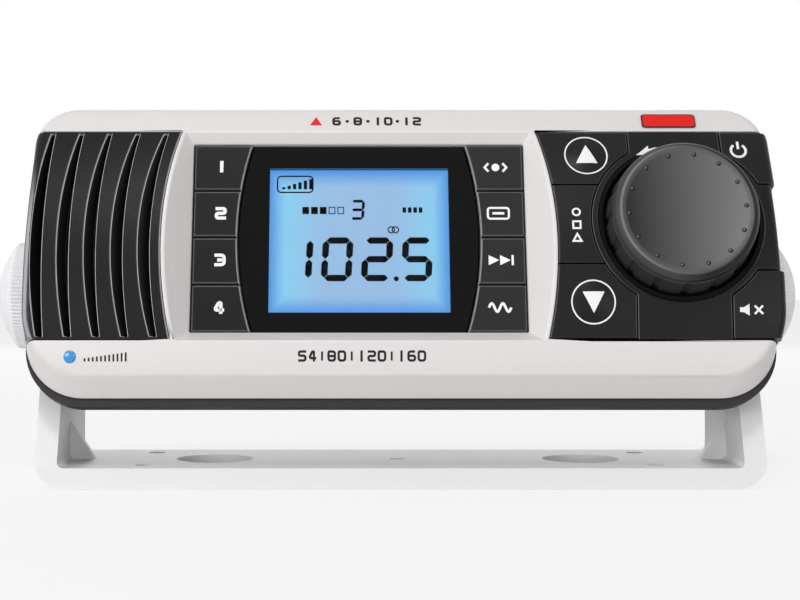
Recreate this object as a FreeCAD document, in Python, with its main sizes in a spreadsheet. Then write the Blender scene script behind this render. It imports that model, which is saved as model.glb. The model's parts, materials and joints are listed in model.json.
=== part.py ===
import FreeCAD, Part
import os
import re
import Sketcher
from FreeCAD import Placement, Rotation, Vector

# Marine stereo: a radio head with a convex front, hung in a U bracket between two clamp knobs.
# The origin is the middle of the bracket's underside, +Z is up and the front looks along -Y.
# The head is drawn upright about the tilt axis and then leaned back by the rest tilt, so on the
# head "reach" is the distance forward of the tilt axis, and x and z run along its face.

SIZES = (
    ("bracket_width", 173.2, "bracket across the arms, outside"),
    ("bracket_depth", 43.7, "bracket front to back at the base"),
    ("base_thickness", 5.0, "bracket base"),
    ("arm_thickness", 5.3, "bracket arm"),
    ("pivot_height", 45.5, "tilt axis above the underside"),
    ("pivot_setback", 9.3, "tilt axis behind the middle of the base"),
    ("bracket_corner", 7.0, "outer rounding of the bracket's corners"),
    ("bracket_inner_corner", 1.5, "inner rounding of the bracket's corners"),
    ("gusset_width", 6.1, "gusset along the base"),
    ("gusset_height", 9.7, "gusset up the arm"),
    ("gusset_thickness", 2.6, "gusset plate"),
    ("screw_hole_radius", 2.2, "mounting holes in the base"),
    ("screw_spacing_x", 123.0, "mounting holes, left to right"),
    ("screw_spacing_y", 29.0, "mounting holes, front to back"),
    ("cable_hole_radius", 9.5, "large holes in the base"),
    ("cable_hole_spacing", 91.0, "large holes, centre to centre"),
    ("stud_radius", 3.0, "clamp stud"),
    ("stud_clearance", 0.05, "stud in the threaded insert"),
    ("arm_hole_clearance", 0.4, "stud through the arm"),
    ("stud_engagement", 8.5, "stud inside the insert"),
    ("clamp_knob_radius", 13.4, "clamp knob"),
    ("clamp_knob_height", 13.3, "clamp knob along its axis"),
    ("clamp_knob_dome", 5.2, "height of the domed end"),
    ("clamp_knob_bevel", 0.6, "bevel round the foot of the knob"),
    ("clamp_knob_cavity", 9.0, "radius of the hollow behind the knob"),
    ("clamp_knob_cavity_depth", 5.0, "depth of the hollow behind the knob"),
    ("clamp_washer_thickness", 1.0, "steel washer under the knob"),
    ("clamp_washer_radius", 8.5, "steel washer under the knob"),
    ("pivot_washer_radius", 11.5, "rubber washer between head and arm"),
    ("side_clearance", 0.2, "rubber washer to the arm"),
    ("insert_radius", 5.0, "brass insert"),
    ("insert_length", 10.0, "brass insert"),
    ("seat_gap", 0.05, "round pieces seated in one another"),
    ("rest_tilt", 16.3, "lean of the face at rest, degrees"),
    ("head_width", 176.4, "head across the ends"),
    ("head_rise", 38.2, "top of the bezel above the tilt axis"),
    ("head_drop", 33.0, "bottom of the bezel below the tilt axis"),
    ("top_corner", 10.0, "upper corners of the bezel, front view"),
    ("bottom_corner", 14.0, "lower corners of the bezel, front view"),
    ("draft_reach", 34.0, "where the bezel's drafted outline is given"),
    ("draft_rise", 4.6, "rise of the bezel's underside from its back to there"),
    ("front_top_corner", 10.5, "upper corners of the bezel there, front view"),
    ("side_bow", 440.0, "bowed sides of the bezel in front, front view"),
    ("edge_round", 2.2, "rounding between the face and the sides"),
    ("face_radius", 96.0, "radius of the convex face"),
    ("face_reach", 38.9, "foremost line of the face"),
    ("face_centre", 2.4, "height of the foremost line"),
    ("parting_reach", 27.5, "front plane of the rear housing"),
    ("gasket_thickness", 0.4, "case gasket"),
    ("gasket_width", 0.8, "case gasket"),
    ("gasket_inset", 0.3, "case gasket in from the bezel's sides"),
    ("rim_depth", 3.2, "rim of the rear housing, front to back"),
    ("rim_lip", 1.8, "rim standing out below the bezel"),
    ("rim_side_lip", 0.1, "rim standing out at the ends"),
    ("rim_wall", 2.7, "rim of the rear housing, wall"),
    ("rim_floor", 1.5, "rim of the rear housing, floor"),
    ("box_side_gap", 2.0, "rear box to the bracket's arms"),
    ("box_top_inset", 0.4, "rear box in from the rim, above"),
    ("box_bottom_inset", 2.2, "rear box in from the rim, below"),
    ("shelf_reach", 18.0, "step of the rear box"),
    ("box_back_rise", 30.8, "rear box behind the step, above the tilt axis"),
    ("box_back_drop", 25.0, "rear box behind the step, below the tilt axis"),
    ("box_back", 14.0, "back of the rear box behind the tilt axis"),
    ("box_corner", 10.0, "rear box corners, front view"),
    ("box_back_round", 4.0, "rounding of the rear box's back edges"),
    ("box_wall", 2.2, "rear box wall"),
    ("panel_top", 31.2, "upper edge of the black side panels"),
    ("panel_bottom", -20.8, "lower edge of the black side panels"),
    ("panel_wall", 2.4, "wall of the side panels"),
    ("panel_gap", 0.15, "side panels to the bezel"),
    ("window_x", -9.9, "middle of the display recess"),
    ("window_z", 5.25, "middle of the display recess"),
    ("window_width", 79.2, "display recess at its floor"),
    ("window_height", 46.7, "display recess at its floor"),
    ("recess_reach", 32.5, "floor of the display recess"),
    ("side_slope", 0.9, "run of the recess's side walls per depth"),
    ("top_slope", 1.2, "run of the recess's upper wall per depth"),
    ("bottom_slope", 0.8, "run of the recess's lower wall per depth"),
    ("lip_width", 1.0, "white lip between recess and side panel"),
    ("slot_count", 5, "speaker slots"),
    ("slot_pitch", 6.25, "speaker slots"),
    ("slot_first_x", -85.2, "outermost speaker slot at the foremost line"),
    ("slot_width", 2.8, "speaker slot at the foremost line"),
    ("slot_taper", 0.43, "narrowing of the slot per depth"),
    ("slot_lean", 0.5, "lean of the outermost slot per depth"),
    ("slot_lean_step", 0.12, "more lean on each slot inwards"),
    ("slot_end_margin", 0.7, "slot ends to the panel's edges"),
    ("slot_start", 3.0, "where the slots are drawn from, in front of the face"),
    ("hollow_inset", 4.4, "hollow behind the grille to the end of the head"),
    ("key_gap", 0.25, "round each key"),
    ("key_travel", 0.8, "travel of each key"),
    ("key_floor_clearance", 0.2, "key to its floor when pressed"),
    ("flat_key_reach", 32.3, "face of the flat keys"),
    ("flat_key_thickness", 2.2, "cap of the flat keys"),
    ("frame_thickness", 1.8, "keypad frame plate"),
    ("stem_radius", 1.4, "key stems"),
    ("stem_clearance", 0.25, "key stems in their holes"),
    ("lens_waist", 57.2, "lens across its middle"),
    ("lens_bow_radius", 80.0, "bowed sides of the lens"),
    ("lens_reach", 31.5, "face of the lens"),
    ("lens_thickness", 1.5, "display lens"),
    ("lcd_width", 45.0, "display glass"),
    ("lcd_height", 38.0, "display glass"),
    ("lcd_thickness", 1.8, "display glass"),
    ("lens_seat", 0.1, "lens to the display glass"),
    ("board_thickness", 1.6, "circuit boards"),
    ("display_board_reach", 23.5, "back of the display board"),
    ("main_board_reach", 4.0, "back of the main board"),
    ("main_board_width", 108.0, "main board"),
    ("main_board_height", 50.0, "main board"),
    ("board_margin", 2.4, "display board beyond its screws"),
    ("control_board_reach", 26.0, "back of the control board"),
    ("control_board_x", 60.0, "middle of the control board"),
    ("control_board_width", 49.6, "control board"),
    ("control_board_height", 44.0, "control board"),
    ("switch_size", 4.2, "tact switch, square"),
    ("switch_height", 1.1, "tact switch"),
    ("stem_gap", 0.05, "key stem to its switch when pressed"),
    ("cap_reach", 32.6, "underside of the curved keys"),
    ("fascia_floor", 1.6, "floor under the curved keys"),
    ("edge_key_proud", 0.85, "power and mute keys beyond the end of the head"),
    ("upper_key_bottom", 16.5, "lower edge of the up and power keys"),
    ("lower_key_top", -3.2, "upper edge of the down key"),
    ("mute_key_top", -4.6, "upper edge of the mute key"),
    ("knob_x", 65.3, "volume knob axis"),
    ("knob_z", 7.3, "volume knob axis"),
    ("strip_half_width", 10.9, "fixed strips above and below the knob"),
    ("well_ring_radius", 20.8, "ring round the knob, outside"),
    ("well_ring_width", 1.4, "ring round the knob"),
    ("well_floor_reach", 34.0, "floor of the knob well"),
    ("liner_wall", 1.0, "liner of the knob well"),
    ("knob_base_reach", 35.6, "underside of the volume knob"),
    ("knob_height", 11.4, "volume knob"),
    ("knob_top_radius", 15.3, "flat top of the volume knob"),
    ("knob_bevel", 1.5, "bevel round the top of the knob"),
    ("knob_collar", 1.2, "collar above the grip"),
    ("knob_dish", 0.4, "hollow of the knob's top"),
    ("knob_edge", 0.9, "flat edge round the hollow of the knob's top"),
    ("knob_skirt", 1.6, "wall of the knob behind its grip"),
    ("knob_hub", 2.0, "wall of the knob round its shaft"),
    ("knob_top_wall", 2.6, "knob above its shaft"),
    ("grip_radius", 17.4, "rubber grip at its foot"),
    ("grip_thickness", 1.6, "rubber grip"),
    ("grip_groove_radius", 0.9, "grooves in the grip"),
    ("grip_groove_shift", 0.2, "middle of each groove outside the grip"),
    ("grip_groove_count", 16, "grooves in the grip"),
    ("pip_count", 14, "raised dots on the knob"),
    ("pip_circle", 13.6, "circle of the raised dots"),
    ("pip_radius", 0.45, "raised dots"),
    ("pip_height", 0.35, "raised dots"),
    ("shaft_radius", 3.0, "encoder shaft"),
    ("shaft_clearance", 0.05, "encoder shaft in its bushing"),
    ("bushing_radius", 4.2, "encoder bushing"),
    ("encoder_size", 11.6, "encoder body, square"),
    ("speaker_x", -68.0, "speaker axis"),
    ("speaker_z", 5.2, "speaker axis"),
    ("speaker_width", 26.4, "speaker frame"),
    ("speaker_height", 46.0, "speaker frame"),
    ("speaker_neck_width", 17.6, "speaker basket behind the frame"),
    ("speaker_plate", 1.4, "speaker frame plate"),
    ("speaker_wall", 1.0, "speaker basket wall"),
    ("speaker_opening_width", 21.0, "opening in front of the speaker"),
    ("speaker_opening_height", 41.0, "opening in front of the speaker"),
    ("speaker_corner", 5.0, "corners of the speaker frame"),
    ("speaker_opening_corner", 8.0, "corners of the opening in front of the speaker"),
    ("speaker_baffle", 2.0, "seat of the speaker behind the grille"),
    ("cone_thickness", 0.6, "speaker cone"),
    ("speaker_gasket_thickness", 0.5, "speaker gasket"),
    ("speaker_screw_x", 10.2, "speaker screws from the axis"),
    ("speaker_screw_z", 20.4, "speaker screws from the axis"),
    ("speaker_screw_radius", 0.8, "speaker screws"),
    ("speaker_depth", 13.0, "speaker basket"),
    ("magnet_radius", 8.4, "speaker magnet"),
    ("magnet_depth", 4.2, "speaker magnet"),
    ("screw_radius", 1.3, "casing screws"),
    ("screw_x", 70.0, "casing screws from the middle"),
    ("screw_top_inset", 4.8, "casing screws from the bezel's upper edge"),
    ("screw_bottom_inset", 4.7, "casing screws from the bezel's lower edge"),
    ("boss_radius", 2.1, "bosses on the back of the bezel"),
    ("hole_clearance", 0.2, "screws through plates and walls"),
    ("screw_head_radius", 2.2, "casing screw heads"),
    ("screw_head_height", 1.5, "casing screw heads"),
    ("thread_reach", 30.0, "tips of the casing screws"),
    ("heat_sink_screw_inset", 4.0, "heat sink screws from its upper and lower edges"),
    ("frame_foot_radius", 1.2, "feet of the keypad frame"),
    ("frame_foot_inset", 2.0, "feet of the keypad frame from the recess's edges"),
    ("spacer_radius", 2.8, "board spacers"),
    ("spacer_x", 40.0, "board spacers from the middle"),
    ("spacer_z", 20.0, "board spacers above and below the middle of the main board"),
    ("board_screw_radius", 1.3, "screws of the boards"),
    ("board_screw_depth", 5.0, "screws of the boards beyond their board"),
    ("board_screw_inset", 5.0, "display board screws from the window's sides"),
    ("board_screw_rise", 4.1, "display board screws from the window's edges"),
    ("tuner_width", 26.0, "tuner module"),
    ("tuner_height", 20.0, "tuner module"),
    ("tuner_depth", 7.0, "tuner module"),
    ("tuner_offset", 15.0, "tuner module left of the display's middle"),
    ("wireless_width", 16.0, "wireless module"),
    ("wireless_height", 10.0, "wireless module"),
    ("wireless_depth", 2.4, "wireless module"),
    ("wireless_offset", 14.0, "wireless module right of the display's middle"),
    ("module_top", 16.0, "upper edge of both modules above the display's middle"),
    ("capacitor_radius", 4.0, "capacitors"),
    ("capacitor_height", 12.0, "capacitors"),
    ("capacitor_pitch", 12.0, "capacitors"),
    ("capacitor_drop", 15.0, "capacitors below the display's middle"),
    ("chip_width", 24.0, "amplifier chip"),
    ("chip_height", 14.0, "amplifier chip"),
    ("chip_depth", 4.5, "amplifier chip"),
    ("pin_count", 10, "amplifier chip pins"),
    ("pin_pitch", 2.2, "amplifier chip pins"),
    ("pin_width", 0.6, "amplifier chip pins"),
    ("pin_inset", 1.0, "amplifier chip pins from its upper edge"),
    ("heat_sink_width", 62.0, "heat sink"),
    ("heat_sink_height", 34.0, "heat sink"),
    ("heat_sink_base", 3.0, "heat sink plate"),
    ("fin_length", 6.0, "heat sink fins"),
    ("fin_count", 11, "heat sink fins"),
    ("fin_thickness", 1.5, "heat sink fins"),
    ("spigot_width", 30.0, "heat sink block through the wall"),
    ("spigot_height", 18.0, "heat sink block through the wall"),
    ("spigot_depth", 6.0, "heat sink block inside the wall"),
    ("socket_x", 56.0, "rear sockets from the middle"),
    ("socket_z", 12.0, "rear sockets above and below the tilt axis"),
    ("socket_length", 6.0, "rear sockets behind the wall"),
    ("socket_neck", 4.0, "neck of the rear sockets through the wall"),
    ("line_socket_spacing", 13.0, "line output sockets"),
    ("power_contact_spacing", 8.0, "power inlet contacts"),
    ("socket_neck_depth", 5.0, "neck of the rear sockets in front of the back"),
    ("socket_radius", 5.5, "rear sockets"),
    ("plate_corner", 2.0, "corners of the power inlet"),
    ("plate_neck_corner", 1.0, "corners of the power inlet's neck"),
    ("antenna_bore_radius", 3.2, "antenna socket"),
    ("aux_bore_radius", 1.8, "aux socket"),
    ("power_bore_radius", 2.4, "power inlet contacts"),
    ("line_bore_radius", 1.7, "line output sockets"),
    ("badge_x", 64.7, "badge plate"),
    ("badge_z", 34.2, "badge plate"),
    ("badge_width", 13.0, "badge plate"),
    ("badge_height", 4.0, "badge plate"),
    ("badge_thickness", 0.5, "badge plate"),
    ("badge_corner", 0.8, "badge plate corners"),
)

NAMES = {alias for alias, number, note in SIZES}
PLANES = {"front": "XZ_Plane", "side": "YZ_Plane", "top": "XY_Plane"}

# Places that several pieces share, as expressions of the sizes above.
HALF = "(head_width / 2)"
FACE_BACK = "(parting_reach + gasket_thickness)"
FRONT = "(face_reach + 20)"
DRAFT_END = "(face_reach + 1)"
BOX_HALF = "(bracket_width / 2 - arm_thickness - box_side_gap)"
BOX_TOP = "(head_rise - box_top_inset)"
BOX_BOTTOM = "(-head_drop - rim_lip + box_bottom_inset)"
BACK_MIDDLE = "((box_back_rise - box_back_drop) / 2)"
SHELF_FRONT = "(shelf_reach + box_wall)"
RIM_BACK = "(parting_reach - rim_depth)"
WINDOW_LEFT = "(window_x - window_width / 2)"
WINDOW_RIGHT = "(window_x + window_width / 2)"
WINDOW_TOP = "(window_z + window_height / 2)"
WINDOW_BOTTOM = "(window_z - window_height / 2)"
FLAT_KEY_BACK = "(flat_key_reach - flat_key_thickness)"
FRAME_FRONT = f"({FLAT_KEY_BACK} - key_travel - key_floor_clearance)"
FASCIA_FLOOR = "(cap_reach - key_travel - key_floor_clearance)"
FASCIA_BACK = f"({FASCIA_FLOOR} - fascia_floor)"
LENS_BACK = "(lens_reach - lens_thickness)"
LCD_BACK = f"({LENS_BACK} - lens_seat - lcd_thickness)"
DISPLAY_BOARD_FRONT = "(display_board_reach + board_thickness)"
CONTROL_BOARD_FRONT = "(control_board_reach + board_thickness)"
FLAT_STEM_END = f"({DISPLAY_BOARD_FRONT} + switch_height + key_travel + stem_gap)"
CURVED_STEM_END = f"({CONTROL_BOARD_FRONT} + switch_height + key_travel + stem_gap)"
WELL_RADIUS = "(well_ring_radius - well_ring_width)"
KNOB_TOP = "(knob_base_reach + knob_height)"
GRIP_TOP = f"({KNOB_TOP} - knob_bevel - knob_collar)"
SCREW_TOP = "(head_rise - screw_top_inset)"
SCREW_BOTTOM = "(-head_drop + screw_bottom_inset)"
SPEAKER_FRONT = f"({FACE_BACK} - speaker_gasket_thickness)"
SPEAKER_BACK = f"({SPEAKER_FRONT} - speaker_plate)"
BASKET_BACK = f"({SPEAKER_BACK} - speaker_depth)"
ARM_ROUND = "(bracket_depth / 2 - pivot_setback)"

doc = FreeCAD.newDocument("MarineStereo")
sheet = doc.addObject("Spreadsheet::Sheet", "Sizes")
for row, (alias, number, note) in enumerate(SIZES, 1):
    sheet.set(f"A{row}", note)
    sheet.set(f"B{row}", str(number))
    sheet.setAlias(f"B{row}", alias)
doc.recompute()
pieces = []


def link(text):
    """Point the size names of an expression at the sheet."""
    return re.sub("[a-z][a-z_]*", lambda word: "Sizes." + word[0] if word[0] in NAMES else word[0], text)


def value(text):
    """The number that an expression of sizes gives."""
    return float(sheet.evalExpression(link(text)))


def make_body(name, group=False):
    """A new piece; a group holds several separate solids."""
    body = doc.addObject("PartDesign::Body", name)
    body.Label = name
    body.AllowCompound = group
    pieces.append(body)
    return body


def on_head(name, x="0", z="0", group=False):
    """A piece of the head, drawn about a line parallel to the head's reach through x and z."""
    body = make_body(name, group)
    body.Placement = Placement(Vector(), Rotation(Vector(1, 0, 0), -value("rest_tilt")))
    body.setExpression("Placement.Base.x", link(x))
    body.setExpression("Placement.Base.y", link(f"pivot_setback + ({z}) * sin(rest_tilt)"))
    body.setExpression("Placement.Base.z", link(f"pivot_height + ({z}) * cos(rest_tilt)"))
    body.setExpression("Placement.Rotation.Angle", link("-rest_tilt"))
    return body


def on_pivot(name):
    """A piece drawn about the tilt axis, which is its own X axis."""
    body = make_body(name)
    body.setExpression("Placement.Base.y", link("pivot_setback"))
    body.setExpression("Placement.Base.z", link("pivot_height"))
    return body


def hold(outline, kind, *place, size):
    """Add a sketch dimension and bind it to the sheet."""
    index = outline.addConstraint(Sketcher.Constraint(kind, *place, value(size)))
    if link(size) != size:
        outline.setExpression(f"Constraints[{index}]", link(size))


def draw_circle(outline, x, y, radius):
    circle = Part.Circle(Vector(value(x), value(y)), Vector(0, 0, 1), value(radius))
    index = outline.addGeometry(circle)
    hold(outline, "DistanceX", -1, 1, index, 3, size=x)
    hold(outline, "DistanceY", -1, 1, index, 3, size=y)
    hold(outline, "Radius", index, size=radius)


def arc_between(start, end, bend):
    """The lesser arc of radius |bend|, turning left for a positive bend."""
    chord = end - start
    left = Vector(-chord.y, chord.x).normalize()
    drop = (bend ** 2 - (chord.Length / 2) ** 2) ** 0.5
    sign = 1 if bend > 0 else -1
    centre = (start + end) / 2 + left * drop * sign
    through = centre - left * bend
    if bend > 0:
        return Part.Arc(start, through, end)
    return Part.Arc(end, through, start)


def draw_loop(outline, corners):
    """A closed loop; a corner's third entry is the radius of the arc that leaves it."""
    spots = [Vector(value(corner[0]), value(corner[1])) for corner in corners]
    first = outline.GeometryCount
    ends = []
    for number, corner in enumerate(corners):
        start, end = spots[number], spots[(number + 1) % len(spots)]
        bend = value(corner[2]) if len(corner) > 2 else 0
        if bend:
            index = outline.addGeometry(arc_between(start, end, bend))
            hold(outline, "Radius", index, size=corner[2].lstrip("-"))
        else:
            outline.addGeometry(Part.LineSegment(start, end))
        ends.append((2, 1) if bend < 0 else (1, 2))
    for number, corner in enumerate(corners):
        before = number - 1 if number else len(corners) - 1
        here = (first + number, ends[number][0])
        outline.addConstraint(Sketcher.Constraint("Coincident", first + before, ends[before][1], *here))
        hold(outline, "DistanceX", -1, 1, *here, size=corner[0])
        hold(outline, "DistanceY", -1, 1, *here, size=corner[1])


def sketch(body, plane, loops, offset="0"):
    """Draw loops on one of the body's own planes, moved along its normal."""
    outline = body.newObject("Sketcher::SketchObject", f"{body.Label}_outline")
    origin = next(item for item in body.Origin.OriginFeatures if item.Role == PLANES[plane])
    outline.AttachmentSupport = (origin, [""])
    outline.MapMode = "FlatFace"
    outline.setExpression("AttachmentOffset.Base.z", link(offset))
    for loop in loops:
        if loop[0] == "circle":
            draw_circle(outline, *loop[1:])
        else:
            draw_loop(outline, loop)
    return outline


def grow(body, plane, loops, start, end):
    """Add the loops' area between two places along the plane's normal."""
    pad = body.newObject("PartDesign::Pad", f"{body.Label}_pad")
    pad.Profile = sketch(body, plane, loops, start)
    pad.setExpression("Length", link(f"({end}) - ({start})"))
    return pad


def cut(body, plane, loops, start, end):
    """Remove the loops' area between two places along the plane's normal."""
    pocket = body.newObject("PartDesign::Pocket", f"{body.Label}_pocket")
    pocket.Profile = sketch(body, plane, loops, end)
    pocket.setExpression("Length", link(f"({end}) - ({start})"))
    return pocket


def turn(body, loop, axis="V_Axis"):
    """Turn a loop drawn on the top plane about one of the sketch's axes."""
    spin = body.newObject("PartDesign::Revolution", f"{body.Label}_turn")
    outline = sketch(body, "top", [loop])
    spin.Profile = outline
    spin.ReferenceAxis = (outline, [axis])
    spin.Angle = 360
    return spin


def loft(body, kind, low, high, low_offset, high_offset):
    """Join loops of the front plane in pairs; kind is AdditiveLoft or SubtractiveLoft."""
    feature = body.newObject(f"PartDesign::{kind}", f"{body.Label}_loft")
    feature.Profile = sketch(body, "front", low, low_offset)
    feature.Sections = [sketch(body, "front", high, high_offset)]
    feature.Ruled = True
    return feature


def repeat_round(body, feature, count):
    """Copy a feature evenly round the body's own Y axis."""
    pattern = body.newObject("PartDesign::PolarPattern", f"{body.Label}_pattern")
    pattern.Originals = [feature]
    axis = next(item for item in body.Origin.OriginFeatures if item.Role == "Y_Axis")
    pattern.Axis = (axis, [""])
    pattern.Angle = 360
    pattern.setExpression("Occurrences", link(count))
    body.Tip = pattern


def round_edges(body, radius, chosen, kind="Fillet"):
    """Round or chamfer the edges that the test picks."""
    doc.recompute()
    base = body.Tip
    names = [f"Edge{number}" for number, edge in enumerate(base.Shape.Edges, 1) if chosen(edge)]
    feature = body.newObject(f"PartDesign::{kind}", f"{body.Label}_{kind.lower()}")
    feature.Base = (base, names)
    feature.setExpression("Radius" if kind == "Fillet" else "Size", link(radius))


def rectangle(left, bottom, right, top):
    return [(left, bottom), (right, bottom), (right, top), (left, top)]


def rounded(left, bottom, right, top, lower, upper=None):
    """A rectangle with rounded corners, wound to the left."""
    upper = upper or lower
    return [
        (f"({left}) + ({lower})", bottom),
        (f"({right}) - ({lower})", bottom, lower),
        (right, f"({bottom}) + ({lower})"),
        (right, f"({top}) - ({upper})", upper),
        (f"({right}) - ({upper})", top),
        (f"({left}) + ({upper})", top, upper),
        (left, f"({top}) - ({upper})"),
        (left, f"({bottom}) + ({lower})", lower),
    ]


def head_outline(grow_by="0", lip="0"):
    """Front view of the head's back, moved outwards all round, and further below by a lip."""
    side = f"({HALF} + {grow_by})"
    return rounded(
        f"-{side}", f"(-head_drop - {grow_by} - {lip})", side, f"(head_rise + {grow_by})",
        f"(bottom_corner + {grow_by})", f"(top_corner + {grow_by})")


def drafted_outline(grow_by="0"):
    """The same outline just in front of the face: its underside has risen, and its sides lean inwards on
    long arcs that run smoothly into wider upper corners."""
    side = f"({HALF} + {grow_by})"
    share = f"(({DRAFT_END} - {FACE_BACK}) / (draft_reach - {FACE_BACK}))"
    bottom = f"(draft_rise * {share} - head_drop - {grow_by})"
    top = f"(head_rise + {grow_by})"
    lower = f"(bottom_corner + {grow_by})"
    upper = f"(top_corner + (front_top_corner - top_corner) * {share} + {grow_by})"
    bow = f"(side_bow + {grow_by})"
    low = f"({bottom} + {lower})"
    rise = f"(({top} - {low} - {upper}) / (1 - {upper} / {bow}))"
    slope = f"sqrt(1 - ({rise} / {bow})^2)"
    high = f"({low} + {rise})"
    shoulder = f"({side} - {bow} * (1 - {slope}))"
    level = f"({shoulder} - {upper} * {slope})"
    return [
        (f"{lower} - {side}", bottom),
        (f"{side} - {lower}", bottom, lower),
        (side, low, bow),
        (shoulder, high, upper),
        (level, top),
        (f"-{level}", top, upper),
        (f"-{shoulder}", high, bow),
        (f"-{side}", low, lower),
    ]


def face_at(z, inset="0"):
    """Reach of the convex face, or of one moved inwards, at a height on the head."""
    return f"(face_reach - face_radius + sqrt((face_radius - {inset})^2 - ({z} - face_centre)^2))"


def before_face(inset="0"):
    """Side view of everything in front of the convex face."""
    low = "(face_centre - face_radius / 2)"
    high = "(face_centre + face_radius / 2)"
    return [
        (f"-{face_at(low, inset)}", low, f"-(face_radius - {inset})"),
        (f"-{face_at(high, inset)}", high),
        (f"-{FRONT}", high),
        (f"-{FRONT}", low),
    ]


def trim_face(body, inset="0"):
    cut(body, "side", [before_face(inset)], "-head_width", "head_width")


def trim_ends(body, grow_by="0"):
    """Remove what lies outside the head's drafted outline."""
    frame = rectangle("-head_width", "-head_width", "head_width", "head_width")
    low, high = [frame, head_outline(grow_by)], [frame, drafted_outline(grow_by)]
    loft(body, "SubtractiveLoft", low, high, FACE_BACK, DRAFT_END)


def recess_side(side, extra):
    """Top view of all that lies beyond a side wall of the display recess."""
    sign = "" if side > 0 else "-"
    wall = WINDOW_RIGHT if side > 0 else WINDOW_LEFT
    edge = f"({wall} + {sign}(lip_width + {extra}))"
    far = f"({sign}head_width)"
    return [
        (far, f"-({FACE_BACK} - 1)"),
        (edge, f"-({FACE_BACK} - 1)"),
        (edge, "-recess_reach"),
        (f"({edge} + ({sign}side_slope) * ({FRONT} - recess_reach))", f"-{FRONT}"),
        (far, f"-{FRONT}"),
    ]


def trim_side(body, side):
    """Cut a side panel or key along the display recess's side wall."""
    near = recess_side(side, "panel_gap")[1:4]
    inner = WINDOW_LEFT if side > 0 else WINDOW_RIGHT
    loop = near + [(inner, f"-{FRONT}"), (inner, f"-({FACE_BACK} - 1)")]
    cut(body, "top", [loop], "-head_width", "head_width")


def on_face(point):
    """Whether a point of the leaned head's own frame lies on its convex face."""
    radius = value("face_radius")
    depth = -point.y - value("face_reach") + radius
    return abs((depth ** 2 + (point.z - value("face_centre")) ** 2) ** 0.5 - radius) < 0.01


def at_end(edge):
    """An edge where the convex face meets an end of the head."""
    if edge.BoundBox.ZLength < 0.1 or abs(edge.CenterOfMass.x) < value(f"{HALF} - top_corner / 4"):
        return False
    return all(on_face(vertex.Point) for vertex in edge.Vertexes)


def in_front_of(reach):
    """A test for edges that lie wholly in front of a reach."""
    level = value(reach)
    return lambda edge: all(-vertex.Point.y > level for vertex in edge.Vertexes)


def both(loops):
    """The same loops again on the other side of the middle."""
    other = []
    for loop in loops:
        if loop[0] == "circle":
            other.append(("circle", f"-({loop[1]})", *loop[2:]))
        else:
            other.append([(f"-({corner[0]})", *corner[1:]) for corner in loop])
    return loops + other


def four(x, low, high, radius):
    """Four circles at the corners of a rectangle centred between left and right."""
    return both([("circle", x, low, radius), ("circle", x, high, radius)])


def make_bracket():
    """U bracket with slanted arms, round arm ends, gussets and holes."""
    body = make_body("gimbal_bracket")
    outside = "(bracket_width / 2)"
    inside = "(bracket_width / 2 - arm_thickness)"
    top = f"(pivot_height + {ARM_ROUND})"
    inner_floor = "(base_thickness + bracket_inner_corner)"
    grow(body, "front", [[
        (f"-({outside} - bracket_corner)", "0"),
        (f"{outside} - bracket_corner", "0", "bracket_corner"),
        (outside, "bracket_corner"),
        (outside, top),
        (inside, top),
        (inside, inner_floor, "-bracket_inner_corner"),
        (f"{inside} - bracket_inner_corner", "base_thickness"),
        (f"-({inside} - bracket_inner_corner)", "base_thickness", "-bracket_inner_corner"),
        (f"-{inside}", inner_floor),
        (f"-{inside}", top),
        (f"-{outside}", top),
        (f"-{outside}", "bracket_corner", "bracket_corner"),
    ]], "-bracket_depth / 2", "bracket_depth / 2")
    run = "(pivot_setback + bracket_depth / 2)"
    rise = "(pivot_height - base_thickness)"
    square = f"({run}^2 + {rise}^2)"
    tangent = f"sqrt({square} - {ARM_ROUND}^2)"
    touch_y = f"{tangent} * ({run} * {tangent} - {rise} * {ARM_ROUND}) / {square} - bracket_depth / 2"
    touch_z = f"{tangent} * ({run} * {ARM_ROUND} + {rise} * {tangent}) / {square} + base_thickness"
    cut(body, "side", [[
        ("-bracket_depth / 2", "base_thickness"),
        (touch_y, touch_z, f"-{ARM_ROUND}"),
        ("bracket_depth / 2", "pivot_height"),
        ("bracket_depth", "pivot_height"),
        ("bracket_depth", "2 * pivot_height"),
        ("-bracket_depth", "2 * pivot_height"),
        ("-bracket_depth", "base_thickness"),
    ]], "-bracket_width", "bracket_width")
    grow(body, "front", both([[
        (f"{inside} - gusset_width", "base_thickness"),
        (inside, "base_thickness"),
        (inside, "base_thickness + gusset_height"),
    ]]), "-gusset_thickness / 2", "gusset_thickness / 2")
    row = "screw_spacing_y / 2"
    screw_holes = four("screw_spacing_x / 2", f"-{row}", row, "screw_hole_radius")
    cable_holes = both([("circle", "cable_hole_spacing / 2", "0", "cable_hole_radius")])
    middle_hole = [("circle", "0", "0", "screw_hole_radius")]
    cut(body, "top", screw_holes + cable_holes + middle_hole, "0", "base_thickness")
    pivot_hole = ("circle", "pivot_setback", "pivot_height", "stud_radius + arm_hole_clearance")
    cut(body, "side", [pivot_hole], "-bracket_width", "bracket_width")


def washer_rings(radius):
    """Outside and hole of a washer on the tilt axis."""
    return [("circle", "0", "0", radius), ("circle", "0", "0", "stud_radius + arm_hole_clearance")]


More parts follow.
